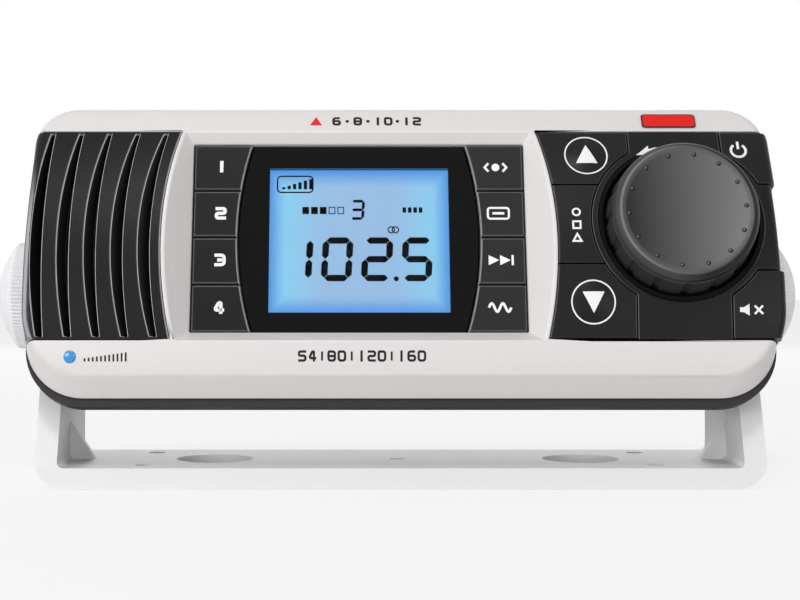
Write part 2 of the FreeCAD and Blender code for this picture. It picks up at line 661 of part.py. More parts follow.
def make_clamp(side, sign):
    """Clamp knob, stud and washer of one side, turned about the tilt axis."""
    foot = "(bracket_width / 2 + clamp_washer_thickness)"
    apex = f"({foot} + clamp_knob_height)"
    bore_end = f"({apex} - clamp_knob_dome)"
    bore = "(stud_radius + seat_gap)"
    ball = "((clamp_knob_radius^2 + clamp_knob_dome^2) / (2 * clamp_knob_dome))"
    bend = ball if sign else f"-{ball}"
    profile = [
        (foot, bore),
        (foot, "2 * stud_radius"),
        (f"{foot} + clamp_knob_cavity_depth", "2 * stud_radius"),
        (f"{foot} + clamp_knob_cavity_depth", "clamp_knob_cavity"),
        (foot, "clamp_knob_cavity"),
        (foot, "clamp_knob_radius - clamp_knob_bevel"),
        (f"{foot} + clamp_knob_bevel", "clamp_knob_radius"),
        (bore_end, "clamp_knob_radius", bend),
        (apex, "0"),
        (bore_end, "0"),
        (bore_end, bore),
    ]
    knob = on_pivot(f"{side}_clamp_knob")
    turn(knob, [(f"{sign}({corner[0]})", *corner[1:]) for corner in profile], "H_Axis")

    stud = on_pivot(f"{side}_clamp_stud")
    span = sorted((f"{sign}({BOX_HALF} - stud_engagement)", f"{sign}({bore_end} - seat_gap)"), key=value)
    grow(stud, "side", [("circle", "0", "0", "stud_radius")], *span)

    washer = on_pivot(f"{side}_clamp_washer")
    span = sorted((f"{sign}bracket_width / 2", f"{sign}{foot}"), key=value)
    grow(washer, "side", washer_rings("clamp_washer_radius"), *span)


def make_pivots():
    """Brass inserts in the sides of the housing and rubber washers beside the arms."""
    inserts = on_head("pivot_inserts", group=True)
    rings = [("circle", "0", "0", "insert_radius"), ("circle", "0", "0", "stud_radius + stud_clearance")]
    grow(inserts, "side", rings, f"-{BOX_HALF}", f"-({BOX_HALF} - insert_length)")
    grow(inserts, "side", rings, f"({BOX_HALF} - insert_length)", BOX_HALF)

    washers = on_head("pivot_washers", group=True)
    far = f"({BOX_HALF} + box_side_gap - side_clearance)"
    grow(washers, "side", washer_rings("pivot_washer_radius"), f"-{far}", f"-{BOX_HALF}")
    grow(washers, "side", washer_rings("pivot_washer_radius"), BOX_HALF, far)


def board_screw_circles(radius):
    """Circles at the four screws of the display board."""
    left, right = f"{WINDOW_LEFT} + board_screw_inset", f"{WINDOW_RIGHT} - board_screw_inset"
    low, high = f"{WINDOW_BOTTOM} - board_screw_rise", f"{WINDOW_TOP} + board_screw_rise"
    return [("circle", x, z, radius) for x in (left, right) for z in (low, high)]


def spacer_circles(radius):
    """Circles at the four spacers of the main board."""
    return four("spacer_x", f"{BACK_MIDDLE} - spacer_z", f"{BACK_MIDDLE} + spacer_z", radius)


def make_bezel():
    """Front moulding: convex face, rounded edges, places for the side panels, display recess."""
    body = on_head("front_bezel")
    loft(body, "AdditiveLoft", [head_outline()], [drafted_outline()], FACE_BACK, DRAFT_END)
    trim_face(body)
    round_edges(body, "edge_round", in_front_of(f"{FACE_BACK} + gasket_thickness"))
    for side in (1, -1):
        cut(body, "top", [recess_side(side, "0")], "panel_bottom", "panel_top")
    window = rectangle(WINDOW_LEFT, WINDOW_BOTTOM, WINDOW_RIGHT, WINDOW_TOP)
    cut(body, "front", [window], FACE_BACK, "recess_reach")
    rise = f"({FRONT} - recess_reach)"
    mouth = rectangle(
        f"{WINDOW_LEFT} - side_slope * {rise}", f"{WINDOW_BOTTOM} - bottom_slope * {rise}",
        f"{WINDOW_RIGHT} + side_slope * {rise}", f"{WINDOW_TOP} + top_slope * {rise}")
    loft(body, "SubtractiveLoft", [window], [mouth], "recess_reach", FRONT)
    grow(body, "front", four("screw_x", SCREW_BOTTOM, SCREW_TOP, "boss_radius"), SHELF_FRONT, FACE_BACK)
    grow(body, "front", board_screw_circles("boss_radius"), DISPLAY_BOARD_FRONT, FACE_BACK)
    screw_holes = four("screw_x", SCREW_BOTTOM, SCREW_TOP, "screw_radius + seat_gap")
    cut(body, "front", screw_holes, SHELF_FRONT, "thread_reach + seat_gap")
    board_holes = board_screw_circles("board_screw_radius + seat_gap")
    cut(body, "front", board_holes, DISPLAY_BOARD_FRONT, f"{DISPLAY_BOARD_FRONT} + board_screw_depth")


def heat_sink_screw_circles(radius):
    """Circles between the outermost fins and their neighbours."""
    pitch = "((heat_sink_width - fin_thickness) / (fin_count - 1))"
    x = f"(heat_sink_width - fin_thickness - {pitch}) / 2"
    z = "(heat_sink_height / 2 - heat_sink_screw_inset)"
    return four(x, f"-{z}", z, radius)


def line_socket_circles(radius):
    left, right = "socket_x - line_socket_spacing / 2", "socket_x + line_socket_spacing / 2"
    return [("circle", x, "-socket_z", radius) for x in (left, right)]


def power_plate(width, height, corner):
    """A rounded plate round the power inlet's two contacts."""
    return rounded(
        f"socket_x - {width} / 2", f"socket_z - {height} / 2",
        f"socket_x + {width} / 2", f"socket_z + {height} / 2", corner)


def make_housing():
    """Rear shell: rim behind the bezel, stepped box between the arms, insert bosses and openings."""
    body = on_head("rear_housing")
    front_box = rounded(f"-{BOX_HALF}", BOX_BOTTOM, BOX_HALF, BOX_TOP, "box_corner")
    grow(body, "front", [front_box], "shelf_reach", "parting_reach")
    back_box = rounded(f"-{BOX_HALF}", "-box_back_drop", BOX_HALF, "box_back_rise", "box_corner")
    grow(body, "front", [back_box], "-box_back", "shelf_reach")
    level = value("box_back - seat_gap")
    round_edges(body, "box_back_round", lambda edge: all(vertex.Point.y > level for vertex in edge.Vertexes))
    lip = "(rim_lip - rim_side_lip)"
    grow(body, "front", [head_outline("rim_side_lip", lip)], RIM_BACK, "parting_reach")
    rim_inside = head_outline("(rim_side_lip - rim_wall)", lip)
    inner_half = f"({BOX_HALF} - box_wall)"
    inner_corner = "(box_corner - box_wall)"
    front_cavity = rounded(
        f"-{inner_half}", f"{BOX_BOTTOM} + box_wall", inner_half, f"{BOX_TOP} - box_wall", inner_corner)
    cut(body, "front", [front_cavity], SHELF_FRONT, "parting_reach")
    back_cavity = rounded(
        f"-{inner_half}", "box_wall - box_back_drop", inner_half, "box_back_rise - box_wall", inner_corner)
    cut(body, "front", [back_cavity], "-box_back + box_wall", SHELF_FRONT)
    cut(body, "front", [rim_inside], f"{RIM_BACK} + rim_floor", "parting_reach")
    screw_holes = four("screw_x", SCREW_BOTTOM, SCREW_TOP, "screw_radius + hole_clearance")
    cut(body, "front", screw_holes, "shelf_reach", SHELF_FRONT)
    pockets = speaker_screw_circles("(2 * speaker_screw_radius + hole_clearance)")
    cut(body, "front", pockets, f"{SPEAKER_BACK} - speaker_screw_radius - hole_clearance", "parting_reach")
    boss = [("circle", "0", "0", "1.5 * insert_radius")]
    deep = f"({BOX_HALF} - insert_length - box_wall)"
    wall_middle = f"({BOX_HALF} - box_wall / 2)"
    grow(body, "side", boss, deep, wall_middle)
    grow(body, "side", boss, f"-{wall_middle}", f"-{deep}")
    bore = [("circle", "0", "0", "insert_radius + seat_gap")]
    seat = f"({BOX_HALF} - insert_length - seat_gap)"
    cut(body, "side", bore, seat, BOX_HALF)
    cut(body, "side", bore, f"-{BOX_HALF}", f"-{seat}")
    spigot = rectangle(
        "-spigot_width / 2 - hole_clearance", "-spigot_height / 2 - hole_clearance",
        "spigot_width / 2 + hole_clearance", "spigot_height / 2 + hole_clearance")
    necks = [("circle", "-socket_x", "socket_z", "socket_neck + seat_gap")]
    necks.append(("circle", "-socket_x", "-socket_z", "socket_neck + seat_gap"))
    necks += line_socket_circles("socket_neck + seat_gap")
    power = power_plate(
        "(3 * socket_neck + 2 * seat_gap)", "(1.5 * socket_neck + 2 * seat_gap)", "plate_neck_corner")
    fixings = heat_sink_screw_circles("board_screw_radius + seat_gap")
    cut(body, "front", [spigot, power] + necks + fixings, "-box_back", "-box_back + box_wall")
    studs = spacer_circles("board_screw_radius + seat_gap")
    cut(body, "front", studs, "-box_back + box_wall / 2 - seat_gap", "-box_back + box_wall")


def make_gasket():
    """Flat seal between the bezel and the rear shell."""
    body = on_head("case_gasket")
    rings = [head_outline("(-gasket_inset)"), head_outline("(-gasket_inset - gasket_width)")]
    grow(body, "front", rings, "parting_reach", FACE_BACK)


def behind_face(z_low, z_high, inset, back):
    """Side view of what lies between a plane and the convex face moved inwards."""
    return [
        (f"-{back}", z_low),
        (f"-{face_at(z_low, inset)}", z_low, f"-(face_radius - {inset})"),
        (f"-{face_at(z_high, inset)}", z_high),
        (f"-{back}", z_high),
    ]


def side_panel(name, side):
    """Block of a black side panel, wrapped round the end of the head."""
    body = on_head(name)
    low, high = "(panel_bottom + panel_gap)", "(panel_top - panel_gap)"
    if side > 0:
        block = rectangle(WINDOW_RIGHT, low, "head_width", high)
    else:
        block = rectangle("-head_width", low, WINDOW_LEFT, high)
    grow(body, "front", [block], FACE_BACK, FRONT)
    trim_ends(body)
    trim_face(body)
    trim_side(body, side)
    round_edges(body, "edge_round", at_end)
    return body


def speaker_outline(width, height, corner):
    return rounded(
        f"speaker_x - {width} / 2", f"speaker_z - {height} / 2",
        f"speaker_x + {width} / 2", f"speaker_z + {height} / 2", corner)


def speaker_screw_circles(radius):
    return [
        ("circle", f"speaker_x {x} speaker_screw_x", f"speaker_z {z} speaker_screw_z", radius)
        for x in "+-" for z in "+-"
    ]


def make_grille():
    """Left panel with leaned wedge slots, hollow behind, and a seat for the speaker."""
    body = side_panel("speaker_grille", -1)
    slope_run = "side_slope * (face_reach - recess_reach)"
    inner_end = f"({WINDOW_LEFT} - lip_width - panel_gap - panel_wall / 2 - {slope_run})"
    low, high = "(panel_bottom + panel_wall)", "(panel_top - panel_wall)"
    seat = f"({FACE_BACK} + speaker_baffle)"
    hollow = behind_face(low, high, "panel_wall", seat)
    cut(body, "side", [hollow], f"-({HALF} - hollow_inset)", inner_end)
    opening = speaker_outline("speaker_opening_width", "speaker_opening_height", "speaker_opening_corner")
    cut(body, "front", [opening], FACE_BACK, seat)
    cut(body, "front", speaker_screw_circles("speaker_screw_radius"), FACE_BACK, seat)
    slots = []
    for number in range(int(value("slot_count"))):
        x = f"(slot_first_x + {number} * slot_pitch)"
        lean = f"(slot_lean + {number} * slot_lean_step)"
        spread = "((slot_width + slot_taper * slot_start) / 2)"
        slots.append([
            (f"{x} - slot_start * {lean} - {spread}", "-(face_reach + slot_start)"),
            (f"{x} - slot_start * {lean} + {spread}", "-(face_reach + slot_start)"),
            (f"{x} + {lean} * slot_width / slot_taper", "slot_width / slot_taper - face_reach"),
        ])
    cut(body, "top", slots, "panel_bottom + slot_end_margin", "panel_top - slot_end_margin")


def make_speaker():
    """Racetrack speaker: gasket, basket, cone, magnet and screws."""
    frame = speaker_outline("speaker_width", "speaker_height", "speaker_corner")
    opening = speaker_outline("speaker_opening_width", "speaker_opening_height", "speaker_opening_corner")
    gasket = on_head("speaker_gasket")
    screw_holes = speaker_screw_circles("(speaker_screw_radius + hole_clearance)")
    grow(gasket, "front", [frame, opening] + screw_holes, SPEAKER_FRONT, FACE_BACK)

    basket = on_head("speaker_basket")
    grow(basket, "front", [frame], SPEAKER_BACK, SPEAKER_FRONT)
    neck_height = "(speaker_opening_height - 4 * speaker_wall)"
    neck = speaker_outline("speaker_neck_width", neck_height, "speaker_opening_corner")
    grow(basket, "front", [neck], BASKET_BACK, SPEAKER_BACK)
    inner_width = "(speaker_neck_width - 2 * speaker_wall)"
    inner_height = f"({neck_height} - 2 * speaker_wall)"
    cone_width, cone_height = f"({inner_width} - hole_clearance)", f"({inner_height} - hole_clearance)"
    inside = speaker_outline(inner_width, inner_height, "(speaker_opening_corner - speaker_wall)")
    cut(basket, "front", [inside], f"{BASKET_BACK} + speaker_wall", SPEAKER_FRONT)
    cut(basket, "front", screw_holes, SPEAKER_BACK, SPEAKER_FRONT)

    cone = on_head("speaker_cone")
    outer = f"{SPEAKER_FRONT} - seat_gap"
    depth = "(speaker_depth - 4 * speaker_wall)"
    round_wide = "(speaker_opening_corner - 1.5 * speaker_wall)"
    wide = speaker_outline(cone_width, cone_height, round_wide)
    narrow = speaker_outline(f"({inner_width} / 2)", f"({inner_height} / 2)", f"({round_wide} / 2)")
    loft(cone, "AdditiveLoft", [narrow], [wide], f"{outer} - {depth}", outer)
    thinner = "2 * cone_thickness"
    wide = speaker_outline(
        f"({cone_width} - {thinner})", f"({cone_height} - {thinner})", f"({round_wide} - cone_thickness)")
    narrow = speaker_outline(
        f"({inner_width} / 2 - 2 * cone_thickness)", f"({inner_height} / 2 - 2 * cone_thickness)",
        f"({round_wide} / 2 - cone_thickness)")
    loft(cone, "SubtractiveLoft", [narrow], [wide], f"{outer} - {depth} + cone_thickness", outer)

    magnet = on_head("speaker_magnet")
    disc = [("circle", "speaker_x", "speaker_z", "magnet_radius")]
    grow(magnet, "front", disc, f"{BASKET_BACK} - magnet_depth", BASKET_BACK)

    screws = on_head("speaker_screws", group=True)
    head_back = f"({SPEAKER_BACK} - speaker_screw_radius)"
    tip = f"({FACE_BACK} + speaker_baffle - hole_clearance)"
    for circle in speaker_screw_circles("(2 * speaker_screw_radius)"):
        grow(screws, "front", [circle], head_back, SPEAKER_BACK)
    shafts = speaker_screw_circles("(speaker_screw_radius - seat_gap)")
    grow(screws, "front", shafts, SPEAKER_BACK, tip)


RING_X = "strip_half_width"
RING_Z = "sqrt(well_ring_radius^2 - strip_half_width^2)"


def key_area(name, gap):
    """Front view of a curved key's place, drawn in from its borders by a gap."""
    ring = f"(well_ring_radius + {gap})"
    inner = f"(knob_x - strip_half_width - {gap})"
    outer = f"(knob_x + strip_half_width + {gap})"
    corner = f"sqrt({ring}^2 - (strip_half_width + {gap})^2)"
    top = f"(panel_top - panel_gap - {gap})"
    bottom = f"(panel_bottom + panel_gap + {gap})"
    if name == "up_key":
        low = f"(upper_key_bottom + {gap} / 2)"
        ring_x = f"(knob_x - sqrt({ring}^2 - ({low} - knob_z)^2))"
        return [(WINDOW_RIGHT, low), (ring_x, low, f"-{ring}"), (inner, f"knob_z + {corner}"),
                (inner, top), (WINDOW_RIGHT, top)]
    if name == "source_key":
        low = f"(lower_key_top + {gap} / 2)"
        high = f"(upper_key_bottom - {gap} / 2)"
        low_x = f"(knob_x - sqrt({ring}^2 - ({low} - knob_z)^2))"
        high_x = f"(knob_x - sqrt({ring}^2 - ({high} - knob_z)^2))"
        return [(WINDOW_RIGHT, low), (low_x, low, f"-{ring}"), (high_x, high), (WINDOW_RIGHT, high)]
    if name == "down_key":
        high = f"(lower_key_top - {gap} / 2)"
        ring_x = f"(knob_x - sqrt({ring}^2 - ({high} - knob_z)^2))"
        return [(WINDOW_RIGHT, bottom), (inner, bottom), (inner, f"knob_z - {corner}", f"-{ring}"),
                (ring_x, high), (WINDOW_RIGHT, high)]
    if name == "power_key":
        low = f"(upper_key_bottom + {gap})"
        ring_x = f"(knob_x + sqrt({ring}^2 - ({low} - knob_z)^2))"
        return [(ring_x, low), ("head_width", low), ("head_width", top), (outer, top),
                (outer, f"knob_z + {corner}", f"-{ring}")]
    high = f"(mute_key_top - {gap})"
    ring_x = f"(knob_x + sqrt({ring}^2 - ({high} - knob_z)^2))"
    return [(outer, bottom), ("head_width", bottom), ("head_width", high),
            (ring_x, high, f"-{ring}"), (outer, f"knob_z - {corner}")]


LEFT_STEM = f"({WINDOW_RIGHT} + knob_x - strip_half_width) / 2"
RIGHT_STEM = f"(knob_x + strip_half_width + {HALF}) / 2"
SOURCE_STEM = f"({WINDOW_RIGHT} + knob_x - well_ring_radius) / 2"
CURVED_KEYS = {
    "up_key": (LEFT_STEM, "(upper_key_bottom + panel_top) / 2"),
    "source_key": (SOURCE_STEM, "(lower_key_top + upper_key_bottom) / 2"),
    "down_key": (LEFT_STEM, "(panel_bottom + lower_key_top) / 2"),
    "power_key": (RIGHT_STEM, "(upper_key_bottom + panel_top) / 2"),
    "mute_key": (RIGHT_STEM, "(panel_bottom + mute_key_top) / 2"),
}


def stem_circles(radius):
    return [("circle", x, z, radius) for x, z in CURVED_KEYS.values()]


def on_knob(radius):
    """A circle about the volume knob's axis."""
    return ("circle", "knob_x", "knob_z", radius)


def make_fascia():
    """Right panel: floors and stem holes for the keys, ring and seat of the knob well."""
    body = side_panel("control_fascia", 1)
    back = rectangle(
        f"{WINDOW_RIGHT} + lip_width + panel_gap + panel_wall", "panel_bottom + panel_wall",
        f"{HALF} - panel_wall", "panel_top - panel_wall")
    cut(body, "front", [back], f"{FACE_BACK} - 1", FASCIA_BACK)
    left = [
        (WINDOW_LEFT, "panel_bottom - 1"),
        ("knob_x - strip_half_width", "panel_bottom - 1"),
        ("knob_x - strip_half_width", f"knob_z - {RING_Z}", "-well_ring_radius"),
        ("knob_x - strip_half_width", f"knob_z + {RING_Z}"),
        ("knob_x - strip_half_width", "panel_top + 1"),
        (WINDOW_LEFT, "panel_top + 1"),
    ]
    cut(body, "front", [left], FASCIA_FLOOR, FRONT)
    for name in ("power_key", "mute_key"):
        cut(body, "front", [key_area(name, "(-seat_gap)")], FASCIA_FLOOR, FRONT)
    cut(body, "front", stem_circles("stem_radius + stem_clearance"), FASCIA_BACK, FASCIA_FLOOR)
    cut(body, "front", [on_knob(WELL_RADIUS)], "well_floor_reach", FRONT)
    cut(body, "front", [on_knob("bushing_radius + seat_gap")], FASCIA_BACK, "well_floor_reach")


def make_curved_key(name):
    """A key cut from the convex face, with a stem down to its switch."""
    body = on_head(name)
    grow(body, "front", [key_area(name, "key_gap")], FACE_BACK, FRONT)
    trim_face(body)
    if name in ("power_key", "mute_key"):
        trim_ends(body, "edge_key_proud")
        round_edges(body, "edge_round", at_end)
    else:
        trim_side(body, 1)
    everything = rectangle("-head_width", "-head_width", "head_width", "head_width")
    cut(body, "front", [everything], f"{FACE_BACK} - 1", "cap_reach")
    x, z = CURVED_KEYS[name]
    grow(body, "front", [("circle", x, z, "stem_radius")], CURVED_STEM_END, "cap_reach")


def make_knob():
    """Volume knob with its grip, its well, and the encoder under it."""
    well = on_head("knob_well")
    outside = f"({WELL_RADIUS} - seat_gap)"
    wall = [on_knob(outside), on_knob(f"{outside} - liner_wall")]
    grow(well, "front", wall, "well_floor_reach", FRONT)
    floor = [on_knob(outside), on_knob("bushing_radius + seat_gap")]
    grow(well, "front", floor, "well_floor_reach", "well_floor_reach + liner_wall")
    trim_face(well)

    knob = on_head("volume_knob", "knob_x", "knob_z")
    bore = "(shaft_radius + seat_gap)"
    core = "(grip_radius - grip_thickness)"
    collar = "(knob_top_radius + knob_bevel)"
    dish = "(knob_top_radius - knob_edge)"
    hollow_top = f"({GRIP_TOP} - knob_top_wall)"
    turn(knob, [
        (bore, "-knob_base_reach"),
        (f"{bore} + knob_hub", "-knob_base_reach"),
        (f"{bore} + knob_hub", f"-{hollow_top}"),
        (f"{core} - knob_skirt", f"-{hollow_top}"),
        (f"{core} - knob_skirt", "-knob_base_reach"),
        (core, "-knob_base_reach"),
        (core, f"-{GRIP_TOP}"),
        (collar, f"-{GRIP_TOP}"),
        (collar, f"-({GRIP_TOP} + knob_collar)"),
        ("knob_top_radius", f"-{KNOB_TOP}"),
        (dish, f"-{KNOB_TOP}", f"(({dish}^2 + knob_dish^2) / (2 * knob_dish))"),
        ("0", f"-({KNOB_TOP} - knob_dish)"),
        ("0", f"-({KNOB_TOP} - knob_top_wall)"),
        (bore, f"-({KNOB_TOP} - knob_top_wall)"),
    ])
    pip = grow(knob, "front", [("circle", "0", "pip_circle", "pip_radius")],
               f"{KNOB_TOP} - knob_dish", f"{KNOB_TOP} + pip_height - knob_dish / 4")
    repeat_round(knob, pip, "pip_count")

    grip = on_head("knob_grip", "knob_x", "knob_z")
    turn(grip, [
        (f"{core} + seat_gap", "-(knob_base_reach + seat_gap)"),
        ("grip_radius", "-(knob_base_reach + seat_gap)"),
        (f"{collar}", f"-({GRIP_TOP} - seat_gap)"),
        (f"{core} + seat_gap", f"-({GRIP_TOP} - seat_gap)"),
    ])
    groove_circle = ("circle", "0", "grip_radius + grip_groove_shift", "grip_groove_radius")
    groove = cut(grip, "front", [groove_circle], "knob_base_reach", GRIP_TOP)
    repeat_round(grip, groove, "grip_groove_count")

    shaft = on_head("encoder_shaft", "knob_x", "knob_z")
    bottom = f"({CONTROL_BOARD_FRONT} + liner_wall)"
    shaft_top = f"{KNOB_TOP} - knob_top_wall - seat_gap"
    grow(shaft, "front", [("circle", "0", "0", "shaft_radius")], bottom, shaft_top)

    encoder = on_head("encoder_body", "knob_x", "knob_z")
    half = "encoder_size / 2"
    top = f"({FASCIA_BACK} - seat_gap)"
    grow(encoder, "front", [rectangle(f"-{half}", f"-{half}", half, half)], CONTROL_BOARD_FRONT, top)
    grow(encoder, "front", [("circle", "0", "0", "bushing_radius")], top, "well_floor_reach + liner_wall")
    bore = [("circle", "0", "0", "shaft_radius + shaft_clearance")]
    cut(encoder, "front", bore, f"{bottom} - seat_gap", "well_floor_reach + liner_wall")


def bow(z, side, offset):
    """x of the lens's bowed side, moved outwards, at a height."""
    sign = "+" if side > 0 else "-"
    back = "-" if side > 0 else "+"
    reach = f"sqrt((lens_bow_radius + {offset})^2 - ({z} - window_z)^2)"
    return f"(window_x {sign} lens_waist / 2 {back} lens_bow_radius {sign} {reach})"


ROW = "(window_height / 4)"
FLAT_KEYS = {
    "preset_key_1": (-1, 3),
    "preset_key_2": (-1, 2),
    "preset_key_3": (-1, 1),
    "preset_key_4": (-1, 0),
    "select_key": (1, 3),
    "display_key": (1, 2),
    "scan_key": (1, 1),
    "band_key": (1, 0),
}


def flat_stem(name):
    """Where a flat key's stem stands."""
    side, row = FLAT_KEYS[name]
    if side < 0:
        x = f"({WINDOW_LEFT} + window_x - lens_waist / 2) / 2"
    else:
        x = f"({WINDOW_RIGHT} + window_x + lens_waist / 2) / 2"
    return x, f"{WINDOW_BOTTOM} + ({row} + 0.5) * {ROW}"


def make_flat_key(name):
    """A flat key beside the lens, its inner side following the bowed lens."""
    body = on_head(name)
    side, row = FLAT_KEYS[name]
    low = f"({WINDOW_BOTTOM} + {row} * {ROW} + key_gap / 2)"
    high = f"({WINDOW_BOTTOM} + ({row} + 1) * {ROW} - key_gap / 2)"
    if side < 0:
        edge = f"({WINDOW_LEFT} + key_gap)"
        loop = [(edge, low), (bow(low, -1, "key_gap"), low, "-(lens_bow_radius + key_gap)"),
                (bow(high, -1, "key_gap"), high), (edge, high)]
    else:
        edge = f"({WINDOW_RIGHT} - key_gap)"
        loop = [(edge, low), (edge, high), (bow(high, 1, "key_gap"), high, "-(lens_bow_radius + key_gap)"),
                (bow(low, 1, "key_gap"), low)]
    grow(body, "front", [loop], FLAT_KEY_BACK, "flat_key_reach")
    round_edges(body, "key_gap", in_front_of("flat_key_reach - seat_gap"), "Chamfer")
    grow(body, "front", [("circle", *flat_stem(name), "stem_radius")], FLAT_STEM_END, FLAT_KEY_BACK)


def around_window(inset):
    """The display recess's floor, drawn in by a gap."""
    return rectangle(
        f"{WINDOW_LEFT} + {inset}", f"{WINDOW_BOTTOM} + {inset}",
        f"{WINDOW_RIGHT} - {inset}", f"{WINDOW_TOP} - {inset}")


def lcd_area(margin):
    """The display glass, moved outwards by a gap."""
    return rectangle(
        f"window_x - lcd_width / 2 - {margin}", f"window_z - lcd_height / 2 - {margin}",
        f"window_x + lcd_width / 2 + {margin}", f"window_z + lcd_height / 2 + {margin}")


def make_display():
    """Lens, display glass, light guide, keypad frame and the two front boards."""
    lens = on_head("display_lens")
    low, high = f"({WINDOW_BOTTOM} + key_gap / 2)", f"({WINDOW_TOP} - key_gap / 2)"
    grow(lens, "front", [[
        (bow(low, -1, "0"), low),
        (bow(low, 1, "0"), low, "lens_bow_radius"),
        (bow(high, 1, "0"), high),
        (bow(high, -1, "0"), high, "lens_bow_radius"),
    ]], LENS_BACK, "lens_reach")

    glass = on_head("lcd_panel")
    grow(glass, "front", [lcd_area("0")], LCD_BACK, f"{LENS_BACK} - lens_seat")

    guide = on_head("backlight_guide")
    grow(guide, "front", [lcd_area("0")], DISPLAY_BOARD_FRONT, f"{LCD_BACK} - seat_gap")

    frame = on_head("keypad_frame")
    holes = [("circle", *flat_stem(name), "stem_radius + stem_clearance") for name in FLAT_KEYS]
    plate = [around_window("key_gap"), lcd_area("stem_clearance")]
    grow(frame, "front", plate + holes, f"{FRAME_FRONT} - frame_thickness", FRAME_FRONT)
    feet = [("circle", x, z, "frame_foot_radius")
            for x in (f"{WINDOW_LEFT} + frame_foot_inset", f"{WINDOW_RIGHT} - frame_foot_inset")
            for z in (f"{WINDOW_BOTTOM} + frame_foot_inset", f"{WINDOW_TOP} - frame_foot_inset")]
    grow(frame, "front", feet, DISPLAY_BOARD_FRONT, f"{FRAME_FRONT} - frame_thickness")

    board = on_head("display_board")
    edge = "board_screw_rise + board_margin"
    plate = rectangle(WINDOW_LEFT, f"{WINDOW_BOTTOM} - ({edge})", WINDOW_RIGHT, f"{WINDOW_TOP} + {edge}")
    holes = board_screw_circles("(board_screw_radius + hole_clearance)")
    grow(board, "front", [plate] + holes, "display_board_reach", DISPLAY_BOARD_FRONT)

    board = on_head("control_board")
    middle = "(panel_top + panel_bottom) / 2"
    plate = rectangle(
        "control_board_x - control_board_width / 2", f"{middle} - control_board_height / 2",
        "control_board_x + control_board_width / 2", f"{middle} + control_board_height / 2")
    grow(board, "front", [plate], "control_board_reach", CONTROL_BOARD_FRONT)

    switches = on_head("tact_switches", group=True)
    places = [(flat_stem(name), DISPLAY_BOARD_FRONT) for name in FLAT_KEYS]
    places += [(spot, CONTROL_BOARD_FRONT) for spot in CURVED_KEYS.values()]
    half = "switch_size / 2"
    for (x, z), board_front in places:
        square = rectangle(f"{x} - {half}", f"{z} - {half}", f"{x} + {half}", f"{z} + {half}")
        grow(switches, "front", [square], board_front, f"{board_front} + switch_height")


MAIN_BOARD_FRONT = "(main_board_reach + board_thickness)"
CHIP_BACK = "(box_wall + spigot_depth - box_back)"


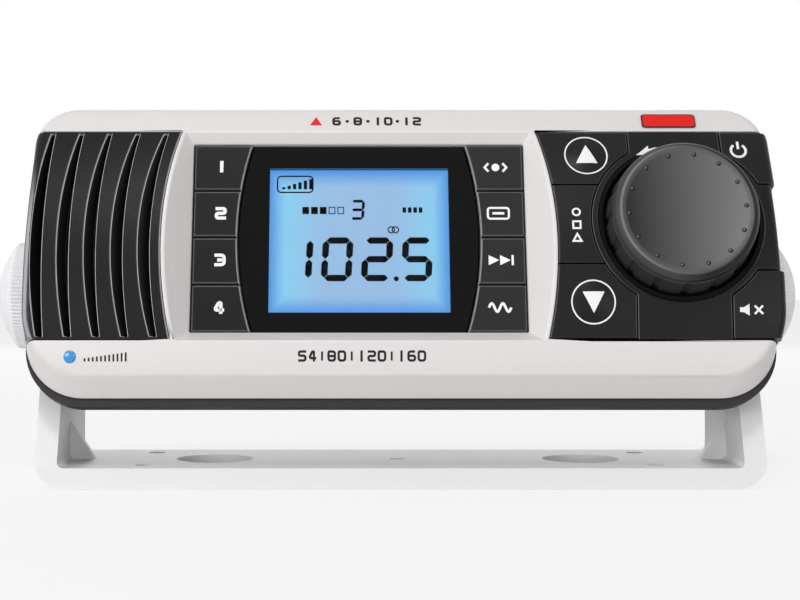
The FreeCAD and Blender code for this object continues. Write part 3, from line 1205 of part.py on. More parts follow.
def make_electronics():
    """Main board with what stands on it, its spacers and screws, and the heat sink."""
    board = on_head("main_board")
    plate = rectangle(
        "-main_board_width / 2", f"{BACK_MIDDLE} - main_board_height / 2",
        "main_board_width / 2", f"{BACK_MIDDLE} + main_board_height / 2")
    holes = spacer_circles("(board_screw_radius + hole_clearance)")
    grow(board, "front", [plate] + holes, "main_board_reach", MAIN_BOARD_FRONT)

    spacers = on_head("board_spacers", group=True)
    foot = "(-box_back + box_wall)"
    for circle in spacer_circles("spacer_radius"):
        grow(spacers, "front", [circle], foot, "main_board_reach")
    grow(spacers, "front", spacer_circles("board_screw_radius"), f"{foot} - box_wall / 2", foot)
    screw_holes = spacer_circles("(board_screw_radius + seat_gap)")
    screw_tip = "(main_board_reach + board_thickness - board_screw_depth)"
    cut(spacers, "front", screw_holes, f"{screw_tip} - seat_gap", "main_board_reach")

    screws = on_head("board_screws", group=True)
    head_height = "board_screw_radius"
    for circle in spacer_circles("(2 * board_screw_radius)"):
        grow(screws, "front", [circle], MAIN_BOARD_FRONT, f"{MAIN_BOARD_FRONT} + {head_height}")
    grow(screws, "front", spacer_circles("board_screw_radius"), screw_tip, MAIN_BOARD_FRONT)
    for circle in board_screw_circles("(2 * board_screw_radius)"):
        grow(screws, "front", [circle], f"display_board_reach - {head_height}", "display_board_reach")
    tip = "display_board_reach + board_screw_depth"
    grow(screws, "front", board_screw_circles("board_screw_radius"), "display_board_reach", tip)

    screws = on_head("casing_screws", group=True)
    for circle in four("screw_x", SCREW_BOTTOM, SCREW_TOP, "screw_head_radius"):
        grow(screws, "front", [circle], "shelf_reach - screw_head_height", "shelf_reach")
    shafts = four("screw_x", SCREW_BOTTOM, SCREW_TOP, "screw_radius")
    grow(screws, "front", shafts, "shelf_reach", "thread_reach")

    for name, kind, x in (("tuner_module", "tuner", "(window_x - tuner_offset)"),
                          ("wireless_module", "wireless", "(window_x + wireless_offset)")):
        module = on_head(name)
        top = "window_z + module_top"
        block = rectangle(
            f"{x} - {kind}_width / 2", f"{top} - {kind}_height", f"{x} + {kind}_width / 2", top)
        grow(module, "front", [block], MAIN_BOARD_FRONT, f"{MAIN_BOARD_FRONT} + {kind}_depth")

    capacitors = on_head("capacitors", group=True)
    for place in (-1, 0, 1):
        x = f"window_x + {place} * capacitor_pitch"
        can = ("circle", x, "window_z - capacitor_drop", "capacitor_radius")
        grow(capacitors, "front", [can], MAIN_BOARD_FRONT, f"{MAIN_BOARD_FRONT} + capacitor_height")

    sink = on_head("heat_sink")
    plate_back = "(-box_back - heat_sink_base)"
    half, tall = "heat_sink_width / 2", "heat_sink_height / 2"
    grow(sink, "front", [rectangle(f"-{half}", f"-{tall}", half, tall)], plate_back, "-box_back")
    spigot = rectangle("-spigot_width / 2", "-spigot_height / 2", "spigot_width / 2", "spigot_height / 2")
    grow(sink, "front", [spigot], "-box_back", CHIP_BACK)
    fins = []
    for number in range(int(value("fin_count"))):
        x = f"(-{half} + {number} * (heat_sink_width - fin_thickness) / (fin_count - 1))"
        fins.append(rectangle(x, f"-{tall}", f"{x} + fin_thickness", tall))
    grow(sink, "front", fins, f"{plate_back} - fin_length", plate_back)
    holes = heat_sink_screw_circles("board_screw_radius + hole_clearance")
    cut(sink, "front", holes, plate_back, "-box_back")

    screws = on_head("heat_sink_screws", group=True)
    for circle in heat_sink_screw_circles("1.6 * board_screw_radius"):
        grow(screws, "front", [circle], f"{plate_back} - board_screw_radius", plate_back)
    shafts = heat_sink_screw_circles("board_screw_radius")
    grow(screws, "front", shafts, plate_back, "-box_back + box_wall + board_screw_radius")

    chip = on_head("amplifier_chip")
    front = f"({CHIP_BACK} + chip_depth)"
    half, tall = "chip_width / 2", "chip_height / 2"
    grow(chip, "front", [rectangle(f"-{half}", f"-{tall}", half, tall)], CHIP_BACK, front)
    pins = []
    for number in range(int(value("pin_count"))):
        x = f"(({number} - (pin_count - 1) / 2) * pin_pitch)"
        top = f"{tall} - pin_inset"
        pins.append(rectangle(f"{x} - pin_width / 2", f"{top} - pin_width", f"{x} + pin_width / 2", top))
    grow(chip, "front", pins, front, "main_board_reach")


def make_socket(name, bore, x, z):
    """Round socket on the back of the housing, its neck through the wall."""
    body = on_head(name)
    back = "(-box_back - socket_length)"
    grow(body, "front", [("circle", x, z, "socket_radius")], back, "-box_back")
    grow(body, "front", [("circle", x, z, "socket_neck")], "-box_back", "-box_back + socket_neck_depth")
    cut(body, "front", [("circle", x, z, bore)], back, "-box_back")


def make_sockets():
    """Antenna, sound and power connections on the back."""
    make_socket("antenna_socket", "antenna_bore_radius", "-socket_x", "socket_z")
    make_socket("aux_socket", "aux_bore_radius", "-socket_x", "-socket_z")
    lines = on_head("line_out_sockets", group=True)
    back = "(-box_back - socket_length)"
    for circle in line_socket_circles("socket_radius"):
        grow(lines, "front", [circle], back, "-box_back")
    necks = line_socket_circles("socket_neck")
    grow(lines, "front", necks, "-box_back", "-box_back + socket_neck_depth")
    cut(lines, "front", line_socket_circles("line_bore_radius"), back, "-box_back")

    power = on_head("power_inlet")
    plate = power_plate("(4 * socket_neck)", "(2.5 * socket_neck)", "plate_corner")
    grow(power, "front", [plate], back, "-box_back")
    neck = power_plate("(3 * socket_neck)", "(1.5 * socket_neck)", "plate_neck_corner")
    grow(power, "front", [neck], "-box_back", "-box_back + socket_neck_depth")
    left, right = "socket_x - power_contact_spacing / 2", "socket_x + power_contact_spacing / 2"
    bores = [("circle", x, "socket_z", "power_bore_radius") for x in (left, right)]
    cut(power, "front", bores, back, "-box_back")


def make_badge():
    """Thin plate that follows the convex face above the knob."""
    body = on_head("badge_plate")
    plate = rounded(
        "badge_x - badge_width / 2", "badge_z - badge_height / 2",
        "badge_x + badge_width / 2", "badge_z + badge_height / 2", "badge_corner")
    grow(body, "front", [plate], FACE_BACK, FRONT)
    trim_face(body, "(-badge_thickness)")
    low, high = "(badge_z - badge_height)", "(badge_z + badge_height)"
    cut(body, "side", [behind_face(low, high, "0", "0")], "0", "head_width")


make_bracket()
make_clamp("left", "-")
make_clamp("right", "")
make_pivots()
make_bezel()
make_housing()
make_gasket()
make_grille()
make_speaker()
make_fascia()
for key in CURVED_KEYS:
    make_curved_key(key)
make_knob()
for key in FLAT_KEYS:
    make_flat_key(key)
make_display()
make_electronics()
make_sockets()
make_badge()
doc.recompute()

broken = [item.Label for item in doc.Objects if {"Invalid", "Error"} & set(item.State)]
broken += [body.Label for body in pieces if body.Shape.isNull() or not body.Shape.isValid()]
if broken:
    raise RuntimeError("not built: " + ", ".join(broken))
os.makedirs("parts", exist_ok=True)
for body in pieces:
    body.Shape.exportStep(f"parts/{body.Label}.step")
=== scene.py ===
import json
import math

import bmesh
import bpy
import numpy as np
from bpy.props import FloatProperty, FloatVectorProperty, IntProperty, PointerProperty
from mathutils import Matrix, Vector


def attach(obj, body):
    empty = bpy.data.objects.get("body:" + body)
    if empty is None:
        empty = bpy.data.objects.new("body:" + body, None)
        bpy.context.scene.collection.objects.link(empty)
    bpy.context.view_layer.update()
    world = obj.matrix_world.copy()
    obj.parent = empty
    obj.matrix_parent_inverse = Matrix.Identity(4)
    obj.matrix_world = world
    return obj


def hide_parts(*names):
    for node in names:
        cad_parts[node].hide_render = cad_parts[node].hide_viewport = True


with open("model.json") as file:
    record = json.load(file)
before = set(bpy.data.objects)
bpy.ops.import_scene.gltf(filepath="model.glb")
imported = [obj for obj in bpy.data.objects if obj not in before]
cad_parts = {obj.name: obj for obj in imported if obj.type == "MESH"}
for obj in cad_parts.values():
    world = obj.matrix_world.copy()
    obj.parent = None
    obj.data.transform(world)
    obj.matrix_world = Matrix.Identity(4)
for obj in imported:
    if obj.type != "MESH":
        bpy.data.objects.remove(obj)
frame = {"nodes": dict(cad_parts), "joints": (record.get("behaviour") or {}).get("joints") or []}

bl_info = {
    "name": "Marine stereo looks",
    "version": (1, 0, 0),
    "blender": (4, 5, 0),
    "location": "View3D > Sidebar > Stereo",
    "description": "Dresses the packed marine stereo: mouldings, keys, display, knobs, marks and studio",
    "category": "Object",
}

bpy.context.view_layer.update()
JOINTS = {joint["name"]: joint for joint in frame["joints"]}

# The head's own directions: OUT of its face, UP along its face, and the tilt axis it leans about.
PIVOT = np.array(JOINTS["head_tilt"]["pos_m"], float)
OUT = np.array(JOINTS["volume_turn"]["axis"], float)
UP = np.array([0.0, OUT[2], -OUT[1]])

# Places on the head in millimetres, from the tilt axis: x to the right, z up the face, reach out of it.
FACE_RADIUS, FACE_REACH, FACE_CENTRE = 96.0, 38.9, 2.4
KNOB_X, KNOB_Z, KNOB_BASE = 65.3, 7.3, 35.6
FLAT_KEY_FRONT = 32.3
# The lens: its faces, its middle, half its width and height there, and the radius of its bowed sides.
LENS_FRONT, LENS_BACK, LENS_X, LENS_Z = 31.5, 30.0, -9.9, 5.25
LENS_HALF_WIDE, LENS_HALF_TALL, LENS_BOW = 28.6, 23.225, 80.0
GLASS_FRONT, GLASS_LEFT, GLASS_RIGHT, GLASS_LOW, GLASS_HIGH = 29.9, -31.2, 11.6, -13.0, 22.9
# The white front's seat behind the speaker panel, and where the panel's rounded left side begins.
SEAT_LOW, SEAT_HIGH, SEAT_RIGHT, SEAT_DROP = -20.7, 31.1, -50.0, 1.0
ROUND_RIGHT = -85.0
# Edges that turn by more degrees than this are eased and shaded sharp.
SHARP_ANGLE = 38
MILLIMETRE = 0.001


def linear(code):
    """Linear colour of an sRGB hex code."""
    parts = np.array([int(code[place:place + 2], 16) / 255 for place in (1, 3, 5)])
    low = parts / 12.92
    high = ((parts + 0.055) / 1.055) ** 2.4
    return tuple(float(part) for part in np.where(parts <= 0.04045, low, high))


def colour_property(name, description, code):
    return FloatVectorProperty(name=name, description=description, subtype="COLOR", size=3,
                               min=0.0, max=1.0, default=linear(code))


def length_property(name, description, millimetres):
    return FloatProperty(name=name, description=description, unit="LENGTH", min=0.0,
                         default=millimetres * MILLIMETRE)


class StereoSizes(bpy.types.PropertyGroup):
    """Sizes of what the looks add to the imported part."""
    bezel_edge: length_property("Bezel edges", "Easing of the white front's sharp edges", 0.35)
    bracket_edge: length_property("Bracket edges", "Easing of the bracket's sharp edges", 0.7)
    panel_edge: length_property("Panel edges", "Easing of the control panel's and its keys' edges", 0.22)
    slot_edge: length_property("Slot edges", "Easing of the speaker panel's edges and slots", 0.2)
    key_edge: length_property("Key edges", "Easing of the flat keys' edges", 0.2)
    badge_edge: length_property("Badge edges", "Dark border round the badge", 0.3)
    housing_edge: length_property("Housing edges", "Easing of the rear shell's sharp edges", 0.5)
    legend_height: length_property("Legend height", "Height of the printed numbers on the keys", 3.15)
    legend_stroke: length_property("Legend stroke", "Stroke of the printed numbers on the keys", 0.8)
    ink_thickness: length_property("Ink", "Thickness of the printed marks", 0.05)
    digit_height: length_property("Display digits", "Height of the large digits in the display", 10.9)
    knob_notch_depth: length_property("Grip notches", "Depth of the notches in the volume knob's grip", 0.55)
    knob_notches: IntProperty(name="Grip notch count", description="Notches round the volume knob",
                              default=16, min=4, max=60)
    knob_pips: IntProperty(name="Pips", description="Raised dots round the volume knob's top",
                           default=14, min=4, max=60)
    rib_depth: length_property("Clamp ribs", "Depth of the ribs round the clamp knobs", 0.38)
    rib_count: IntProperty(name="Clamp rib count", description="Ribs round each clamp knob",
                           default=90, min=12, max=180)
    key_light: FloatProperty(name="Key light", description="Power of the key lamp", unit="POWER",
                             default=3.0, min=0.0)


class StereoColours(bpy.types.PropertyGroup):
    """Colours of the finishes."""
    bezel: colour_property("Bezel", "White front moulding", "#E0DCDB")
    bracket: colour_property("Bracket", "White bracket moulding", "#E9E7E7")
    clamp: colour_property("Clamp knobs", "White clamp knobs", "#EDEBEF")
    housing: colour_property("Rear shell", "Charcoal rear shell", "#272528")
    panel: colour_property("Panels", "Black side panels", "#101011")
    key: colour_property("Keys", "Black keys", "#161616")
    knob: colour_property("Volume knob", "Black knob", "#1A1A1A")
    rubber: colour_property("Rubber", "Grip and seals", "#36373A")
    lens: colour_property("Lens border", "Black print behind the lens", "#050505")
    ink: colour_property("Ink", "White print on the keys", "#F4F4F2")
    mark: colour_property("Dial marks", "Dark print on the bezel", "#1C1B1C")
    red: colour_property("Red", "Red enamel and red mark", "#E4201B")
    # Painted light: the next five are painted highlights on eased edges and on the speaker panel's round, the
    # knob's painted sheen, and a lighter colour for the right keys where they catch more light.
    edge: colour_property("Bright edges", "Polished edges of the slots and beside the lens", "#C2C3C5")
    round_edge: colour_property("Rounded edge", "Sheen down the speaker panel's rounded left edge", "#A2A3A5")
    knob_sheen: colour_property("Knob sheen", "Where the knob's lacquer turns to the light", "#777777")
    right_key: colour_property("Black keys at the right", "Same caps where they catch more light", "#242424")
    dim_edge: colour_property("Dim edges", "Polished edges of the other keys and the panel", "#4C4C4D")
    blue: colour_property("Blue", "Blue lamp cover", "#2F8FD2")
    glow_middle: colour_property("Display middle", "Backlight in the middle", "#93B9DF")
    glow_side: colour_property("Display sides", "Backlight beside the lamps", "#86C8EA")
    glow_edge: colour_property("Display edges", "Backlight at the edges", "#4F93DE")


def add_node(tree, kind, inputs=None, **settings):
    """Add a node, set what it is told, and give its inputs values or links."""
    made = tree.nodes.new(kind)
    for name, setting in settings.items():
        setattr(made, name, setting)
    for name, given in (inputs or {}).items():
        if isinstance(given, bpy.types.NodeSocket):
            tree.links.new(given, made.inputs[name])
        else:
            made.inputs[name].default_value = given
    return made


def new_material(name):
    """An empty material, its node tree, and the place of the shaded point in the piece's own frame."""
    material = bpy.data.materials.new(name)
    material.use_nodes = True
    tree = material.node_tree
    tree.nodes.clear()
    return material, tree, add_node(tree, "ShaderNodeTexCoord").outputs["Object"]


def finish_material(tree, shader):
    """Make a shader the material's surface."""
    add_node(tree, "ShaderNodeOutputMaterial", {"Surface": shader.outputs[0]})


def grained(tree, colour, darker, drift, grain, roughness, spread, depth, inputs):
    """A surface whose tone drifts to a darker share of its colour, and whose grain shows both in a spread
    of its roughness and as a relief, its depth in millimetres. A noise lies mostly between 0.3 and 0.7."""
    tone = add_node(tree, "ShaderNodeMix", {
        "Factor": drift, "A": (*colour, 1), "B": (*(part * darker for part in colour), 1)}, data_type="RGBA")
    gloss = add_node(tree, "ShaderNodeMapRange", {
        "Value": grain, "From Min": 0.3, "From Max": 0.7,
        "To Min": roughness * (1 - spread), "To Max": roughness * (1 + spread)})
    relief = add_node(tree, "ShaderNodeBump", {
        "Height": grain, "Distance": depth * MILLIMETRE, "Strength": 1.0})
    finish_material(tree, add_node(tree, "ShaderNodeBsdfPrincipled", {
        "Base Color": tone.outputs["Result"], "Roughness": gloss.outputs["Result"],
        "Normal": relief.outputs["Normal"], **inputs}))


def two_tone(tree, share, colour, light, inputs):
    """A surface that is as far from its colour to the light one as the share says."""
    tone = add_node(tree, "ShaderNodeMix", {
        "Factor": share, "A": (*colour, 1), "B": (*light, 1)}, data_type="RGBA")
    finish_material(tree, add_node(tree, "ShaderNodeBsdfPrincipled", {
        "Base Color": tone.outputs["Result"], **inputs}))


def moulded(name, colour, roughness, grain, depth, mottle=0.94, specular=0.5, coat=0.0):
    """Moulded plastic or rubber: a slow drift of tone where the melt flowed, and the fine grain of the
    mould's wall, its size and depth in millimetres, in both relief and gloss."""
    material, tree, place = new_material(name)
    flow, speck = [
        add_node(tree, "ShaderNodeTexNoise", {
            "Vector": place, "Scale": 1 / (pitch * MILLIMETRE), "Detail": detail}).outputs["Fac"]
        for pitch, detail in ((35, 3.0), (grain, 2.0))]
    grained(tree, colour, mottle, flow, speck, roughness, 0.15, depth, {
        "Specular IOR Level": specular, "Coat Weight": coat, "Coat Roughness": 0.15})
    return material


def metal(name, colour, roughness, line, depth, stretch=(1.0, 1.0, 1.0)):
    """Metal with the fine lines or grain of its making; line is their pitch in millimetres, and stretch
    draws the grain out along one direction."""
    material, tree, place = new_material(name)
    drawn = add_node(tree, "ShaderNodeMapping", {"Vector": place, "Scale": stretch})
    grain = add_node(tree, "ShaderNodeTexNoise", {
        "Vector": drawn.outputs["Vector"], "Scale": 1 / (line * MILLIMETRE), "Detail": 3.0}).outputs["Fac"]
    grained(tree, colour, 0.85, grain, grain, roughness, 0.3, depth, {"Metallic": 1.0})
    return material


def polished_edge(name, colour, light, side=0):
    """Moulded plastic whose eased edges get a painted highlight where they turn to a side: to the right for
    side 1, to the left for -1, to both for 0. The share of the light colour grows smoothly with the face's
    lean to that side, as a lamp there would light it."""
    material, tree, place = new_material(name)
    normal = add_node(tree, "ShaderNodeNewGeometry").outputs["True Normal"]
    facing = add_node(tree, "ShaderNodeSeparateXYZ", {"Vector": normal}).outputs["X"]
    turned = add_node(tree, "ShaderNodeMath", {0: facing, 1: float(side)},
                      operation="MULTIPLY" if side else "ABSOLUTE")
    # A noise makes the painted highlight a little uneven.
    uneven_highlight = add_node(tree, "ShaderNodeTexNoise", {
        "Vector": place, "Scale": 1 / (4 * MILLIMETRE), "Detail": 2.0})
    strong = add_node(tree, "ShaderNodeMapRange", {
        "Value": uneven_highlight.outputs["Fac"], "From Min": 0.3, "From Max": 0.7, "To Min": 0.85, "To Max": 1.0})
    share = add_node(tree, "ShaderNodeMapRange", {
        "Value": turned.outputs[0], "From Min": 0.15, "From Max": 0.4, "To Max": strong.outputs["Result"]},
        interpolation_type="SMOOTHSTEP")
    two_tone(tree, share.outputs["Result"], colour, light, {"Roughness": 0.3, "Specular IOR Level": 0.3})
    return material


def lacquered(name, colour, light):
    """Satin lacquer with fine metal flakes and a painted sheen: its colour is painted lighter the more its
    face turns to the left, over the small lean that a shallow dish has, as a lamp on that side would light
    it, and the flakes scatter the painted tone. The steep rim gets at most a quarter of the painted sheen."""
    material, tree, place = new_material(name)
    dish_lean = 0.17
    normal = add_node(tree, "ShaderNodeNewGeometry").outputs["Normal"]
    facing = add_node(tree, "ShaderNodeSeparateXYZ", {"Vector": normal}).outputs["X"]
    own = add_node(tree, "ShaderNodeVectorTransform", {"Vector": normal}, vector_type="NORMAL",
                   convert_from="WORLD", convert_to="OBJECT").outputs["Vector"]
    level = add_node(tree, "ShaderNodeVectorMath", {0: own, 1: tuple(OUT)}, operation="DOT_PRODUCT")
    flake = add_node(tree, "ShaderNodeTexNoise", {
        "Vector": place, "Scale": 1 / (0.3 * MILLIMETRE), "Detail": 2.0})
    scatter = add_node(tree, "ShaderNodeMapRange", {
        "Value": flake.outputs["Fac"], "From Min": 0.3, "From Max": 0.7, "To Min": 0.85, "To Max": 1.0})
    steep = add_node(tree, "ShaderNodeMapRange", {
        "Value": level.outputs["Value"], "From Min": 0.97, "From Max": 0.85, "To Min": 1.0, "To Max": 0.25},
        interpolation_type="SMOOTHSTEP")
    near = add_node(tree, "ShaderNodeMath", {0: scatter.outputs["Result"], 1: steep.outputs["Result"]},
                    operation="MULTIPLY")
    share = add_node(tree, "ShaderNodeMapRange", {
        "Value": facing, "From Min": dish_lean, "From Max": -dish_lean, "To Max": near.outputs[0]})
    relief = add_node(tree, "ShaderNodeBump", {
        "Height": flake.outputs["Fac"], "Distance": 0.002 * MILLIMETRE, "Strength": 1.0})
    two_tone(tree, share.outputs["Result"], colour, light, {
        "Roughness": 0.36, "Normal": relief.outputs["Normal"], "Specular IOR Level": 0.2})
    return material


def along_head(tree, place, direction):
    """Distance of a point along one of the head's own directions, from the tilt axis, in metres."""
    offset = add_node(tree, "ShaderNodeVectorMath", {0: place, 1: tuple(PIVOT)}, operation="SUBTRACT")
    along = add_node(tree, "ShaderNodeVectorMath", {0: offset.outputs["Vector"], 1: tuple(direction)},
                     operation="DOT_PRODUCT")
    return along.outputs["Value"]


def polished_round(name, colour, light):
    """Moulded plastic with a painted highlight, a light stripe down a rounded edge: the share of the light
    colour rises and falls with the face's lean to the left, and fades out towards the top."""
    material, tree, place = new_material(name)
    normal = add_node(tree, "ShaderNodeNewGeometry").outputs["Normal"]
    facing = add_node(tree, "ShaderNodeSeparateXYZ", {"Vector": normal}).outputs["X"]
    share = 1.0
    for value, start, end in ((facing, -0.25, -0.5), (facing, -0.88, -0.72),
                              (along_head(tree, place, UP), 24 * MILLIMETRE, 6 * MILLIMETRE)):
        part = add_node(tree, "ShaderNodeMapRange", {"Value": value, "From Min": start, "From Max": end},
                        interpolation_type="SMOOTHSTEP")
        share = add_node(tree, "ShaderNodeMath", {0: share, 1: part.outputs["Result"]},
                         operation="MULTIPLY").outputs[0]
    two_tone(tree, share, colour, light, {"Roughness": 0.3, "Specular IOR Level": 0.2})
    return material


def backlit_glass(colours):
    """Liquid crystal display lit from both sides: pale in the middle, cyan near the lamps at the left and
    right, deeper blue along its borders. It glows, so its light is the colour that is written."""
    material, tree, place = new_material("backlit_display_glass")
    from_middle = []
    for direction, low, high in (((1.0, 0.0, 0.0), GLASS_LEFT, GLASS_RIGHT), (UP, GLASS_LOW, GLASS_HIGH)):
        value = along_head(tree, place, direction)
        for operation, number in (("SUBTRACT", (low + high) / 2 * MILLIMETRE),
                                  ("DIVIDE", (high - low) / 2 * MILLIMETRE), ("ABSOLUTE", 0.0)):
            value = add_node(tree, "ShaderNodeMath", {0: value, 1: number}, operation=operation).outputs[0]
        from_middle.append(value)
    across, upward = from_middle
    sides, border_x, border_z = [
        add_node(tree, "ShaderNodeMapRange", {"Value": value, "From Min": start, "From Max": end},
                 interpolation_type="SMOOTHSTEP").outputs["Result"]
        for value, start, end in ((across, 0.35, 0.8), (across, 0.8, 1.02), (upward, 0.72, 1.02))]
    border = add_node(tree, "ShaderNodeMath", {0: border_x, 1: border_z}, operation="MAXIMUM")
    cloud = add_node(tree, "ShaderNodeTexNoise", {
        "Vector": place, "Scale": 1 / (18 * MILLIMETRE), "Detail": 1.0})
    uneven = add_node(tree, "ShaderNodeMapRange", {
        "Value": cloud.outputs["Fac"], "From Min": 0.3, "From Max": 0.7, "To Min": 0.7, "To Max": 1.0})
    strong = add_node(tree, "ShaderNodeMath", {0: sides, 1: uneven.outputs["Result"]}, operation="MULTIPLY")
    tone = (*colours.glow_middle, 1)
    for share, colour in ((strong, colours.glow_side), (border, colours.glow_edge)):
        tone = add_node(tree, "ShaderNodeMix", {"Factor": share.outputs[0], "A": tone, "B": (*colour, 1)},
                        data_type="RGBA").outputs["Result"]
    finish_material(tree, add_node(tree, "ShaderNodeBsdfPrincipled", {
        "Base Color": (*linear("#192127"), 1), "Roughness": 0.35, "Specular IOR Level": 0.1,
        "Emission Color": tone, "Emission Strength": 1.0}))
    return material


def clear_acrylic():
    """Cast acrylic under a film against reflections: nearly invisible. The film's effect is a low IOR."""
    material, tree, place = new_material("polished_clear_acrylic")
    haze = add_node(tree, "ShaderNodeTexNoise", {"Vector": place, "Scale": 1 / (6 * MILLIMETRE)})
    gloss = add_node(tree, "ShaderNodeMapRange", {
        "Value": haze.outputs["Fac"], "From Min": 0.3, "From Max": 0.7, "To Min": 0.0, "To Max": 0.03})
    finish_material(tree, add_node(tree, "ShaderNodeBsdfPrincipled", {
        "Base Color": (1, 1, 1, 1), "Roughness": gloss.outputs["Result"], "IOR": 1.08,
        "Transmission Weight": 1.0}))
    return material


def on_head(x, z, reach):
    """Places in metres of head points given in millimetres."""
    x, z, reach = np.broadcast_arrays(np.asarray(x, float), np.asarray(z, float), np.asarray(reach, float))
    steps = x[..., None] * np.array([1.0, 0.0, 0.0]) + z[..., None] * UP + reach[..., None] * OUT
    return PIVOT + steps * MILLIMETRE


def face_at(z):
    """Reach of the convex face at a height: a circle's arc about a level axis."""
    return FACE_REACH - FACE_RADIUS + np.sqrt(FACE_RADIUS ** 2 - (np.asarray(z, float) - FACE_CENTRE) ** 2)


def millimetres(length):
    return length / MILLIMETRE


def link_object(name, content):
    """A new object of the scene."""
    made = bpy.data.objects.new(name, content)
    bpy.context.scene.collection.objects.link(made)
    return made


def build(name, points, faces, material, body, smooth=True):
    """A piece from its points in metres and its faces; doubled points are welded, which closes poles."""
    mesh = bpy.data.meshes.new(name)
    mesh.from_pydata(np.asarray(points).reshape(-1, 3).tolist(), [], [list(face) for face in faces])
    shape = bmesh.new()
    shape.from_mesh(mesh)
    same_point, no_length = 1e-7, 1e-8
    bmesh.ops.remove_doubles(shape, verts=shape.verts, dist=same_point)
    bmesh.ops.dissolve_degenerate(shape, dist=no_length, edges=shape.edges)
    bmesh.ops.recalc_face_normals(shape, faces=shape.faces)
    shape.to_mesh(mesh)
    shape.free()
    mesh.polygons.foreach_set("use_smooth", [smooth] * len(mesh.polygons))
    mesh.materials.append(material)
    piece = link_object(name, mesh)
    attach(piece, body)
    return piece


def face_values(mesh):
    """Centre and normal of every face."""
    centres, normals = np.empty(len(mesh.polygons) * 3), np.empty(len(mesh.polygons) * 3)
    mesh.polygons.foreach_get("center", centres)
    mesh.polygons.foreach_get("normal", normals)
    return centres.reshape(-1, 3), normals.reshape(-1, 3)


def grid_faces(rows, columns, wrap_rows=False, wrap_columns=False):
    """Quads of a grid of points, row by row, closed on itself where it wraps."""
    row = np.arange(rows if wrap_rows else rows - 1)[:, None]
    column = np.arange(columns if wrap_columns else columns - 1)[None, :]
    next_row, next_column = (row + 1) % rows, (column + 1) % columns
    corners = [row * columns + column, row * columns + next_column,
               next_row * columns + next_column, next_row * columns + column]
    spread = [np.broadcast_to(corner, (row.size, column.size)) for corner in corners]
    return np.stack(spread, -1).reshape(-1, 4)


def eased(profile, cut):
    """A profile whose corners are cut back twice by short chords, so that smooth shading keeps them crisp."""
    profile = np.asarray(profile, float)
    made = [profile[0]]
    for before, corner, after in zip(profile[:-2], profile[1:-1], profile[2:]):
        for other in (before, after):
            run = other - corner
            reach = min(cut, 0.4 * np.linalg.norm(run))
            made.append(corner + run / np.linalg.norm(run) * reach)
        start, end = made[-2], made[-1]
        made.insert(-1, 0.25 * start + 0.5 * corner + 0.25 * end)
    made.append(profile[-1])
    return np.array(made)


def weld_copy(node, thin):
    """A copy of a CAD piece's mesh, its loose triangles welded and its flat areas joined into single faces.
    Strips of a gentle curve that are thinner than the easing to come join their neighbours."""
    source = frame["nodes"][node].data
    points = np.empty(len(source.vertices) * 3)
    source.vertices.foreach_get("co", points)
    corners = np.empty(len(source.loops), int)
    source.loops.foreach_get("vertex_index", corners)
    mesh = bpy.data.meshes.new(node + "_copy")
    mesh.from_pydata(points.reshape(-1, 3).tolist(), [], corners.reshape(-1, 3).tolist())
    shape = bmesh.new()
    shape.from_mesh(mesh)
    same_point, no_length, flat, gentle = 2e-6, 1e-6, math.radians(0.1), math.radians(2)
    bmesh.ops.remove_doubles(shape, verts=shape.verts, dist=same_point)
    bmesh.ops.dissolve_degenerate(shape, dist=no_length, edges=shape.edges)
    bmesh.ops.dissolve_limit(shape, angle_limit=flat, verts=shape.verts, edges=shape.edges)
    narrow = {face for face in shape.faces if 2 * face.calc_area() < thin * face.calc_perimeter()}
    seams = [edge for edge in shape.edges
             if not narrow.isdisjoint(edge.link_faces) and edge.calc_face_angle(math.pi) < gentle]
    bmesh.ops.dissolve_edges(shape, edges=seams, use_verts=False)
    shape.to_mesh(mesh)
    shape.free()
    return mesh


def eased_copy(name, node, body, width, material, steps=2, clamp=False, edge=None):
    """A CAD piece again with its sharp edges eased by a live bevel, as a mould leaves them; the eased
    edges may have a finish of their own."""
    mesh = weld_copy(node, width)
    mesh.polygons.foreach_set("use_smooth", [True] * len(mesh.polygons))
    mesh.set_sharp_from_angle(angle=math.radians(SHARP_ANGLE))
    mesh.materials.append(material)
    piece = link_object(name, mesh)
    bevel = piece.modifiers.new("eased edges", "BEVEL")
    bevel.width = width
    bevel.segments = steps
    bevel.limit_method = "ANGLE"
    bevel.angle_limit = math.radians(SHARP_ANGLE)
    bevel.use_clamp_overlap = clamp
    bevel.loop_slide = False
    bevel.harden_normals = True
    bevel.miter_outer = "MITER_ARC"
    if edge:
        mesh.materials.append(edge)
        bevel.material = 1
    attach(piece, body)
    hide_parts(node)
    return piece


def paint(node, material):
    """Give a CAD piece its finish."""
    mesh = frame["nodes"][node].data
    mesh.materials.clear()
    mesh.materials.append(material)


def ribbon(path, width, closed=False):
    """A flat stroke of even width along a path: each point moves by half the width along the mean of its
    two neighbours' normals, over the cosine of half the turn. Gives points and quads."""
    path = np.asarray(path, float)
    following = np.roll(path, -1, axis=0) - path
    following /= np.linalg.norm(following, axis=1)[:, None]
    arriving = np.roll(following, 1, axis=0)
    if not closed:
        arriving[0] = following[0]
        following[-1] = arriving[-1]
    normal_in = np.stack([-arriving[:, 1], arriving[:, 0]], 1)
    normal_out = np.stack([-following[:, 1], following[:, 0]], 1)
    mitre = normal_in + normal_out
    mitre /= np.maximum(1 + (normal_in * normal_out).sum(1), 0.2)[:, None]
    points = np.concatenate([path + mitre * width / 2, path - mitre * width / 2])
    count = len(path)
    start = np.arange(count if closed else count - 1)
    end = (start + 1) % count
    return points, np.stack([start, end, end + count, start + count], 1).tolist()


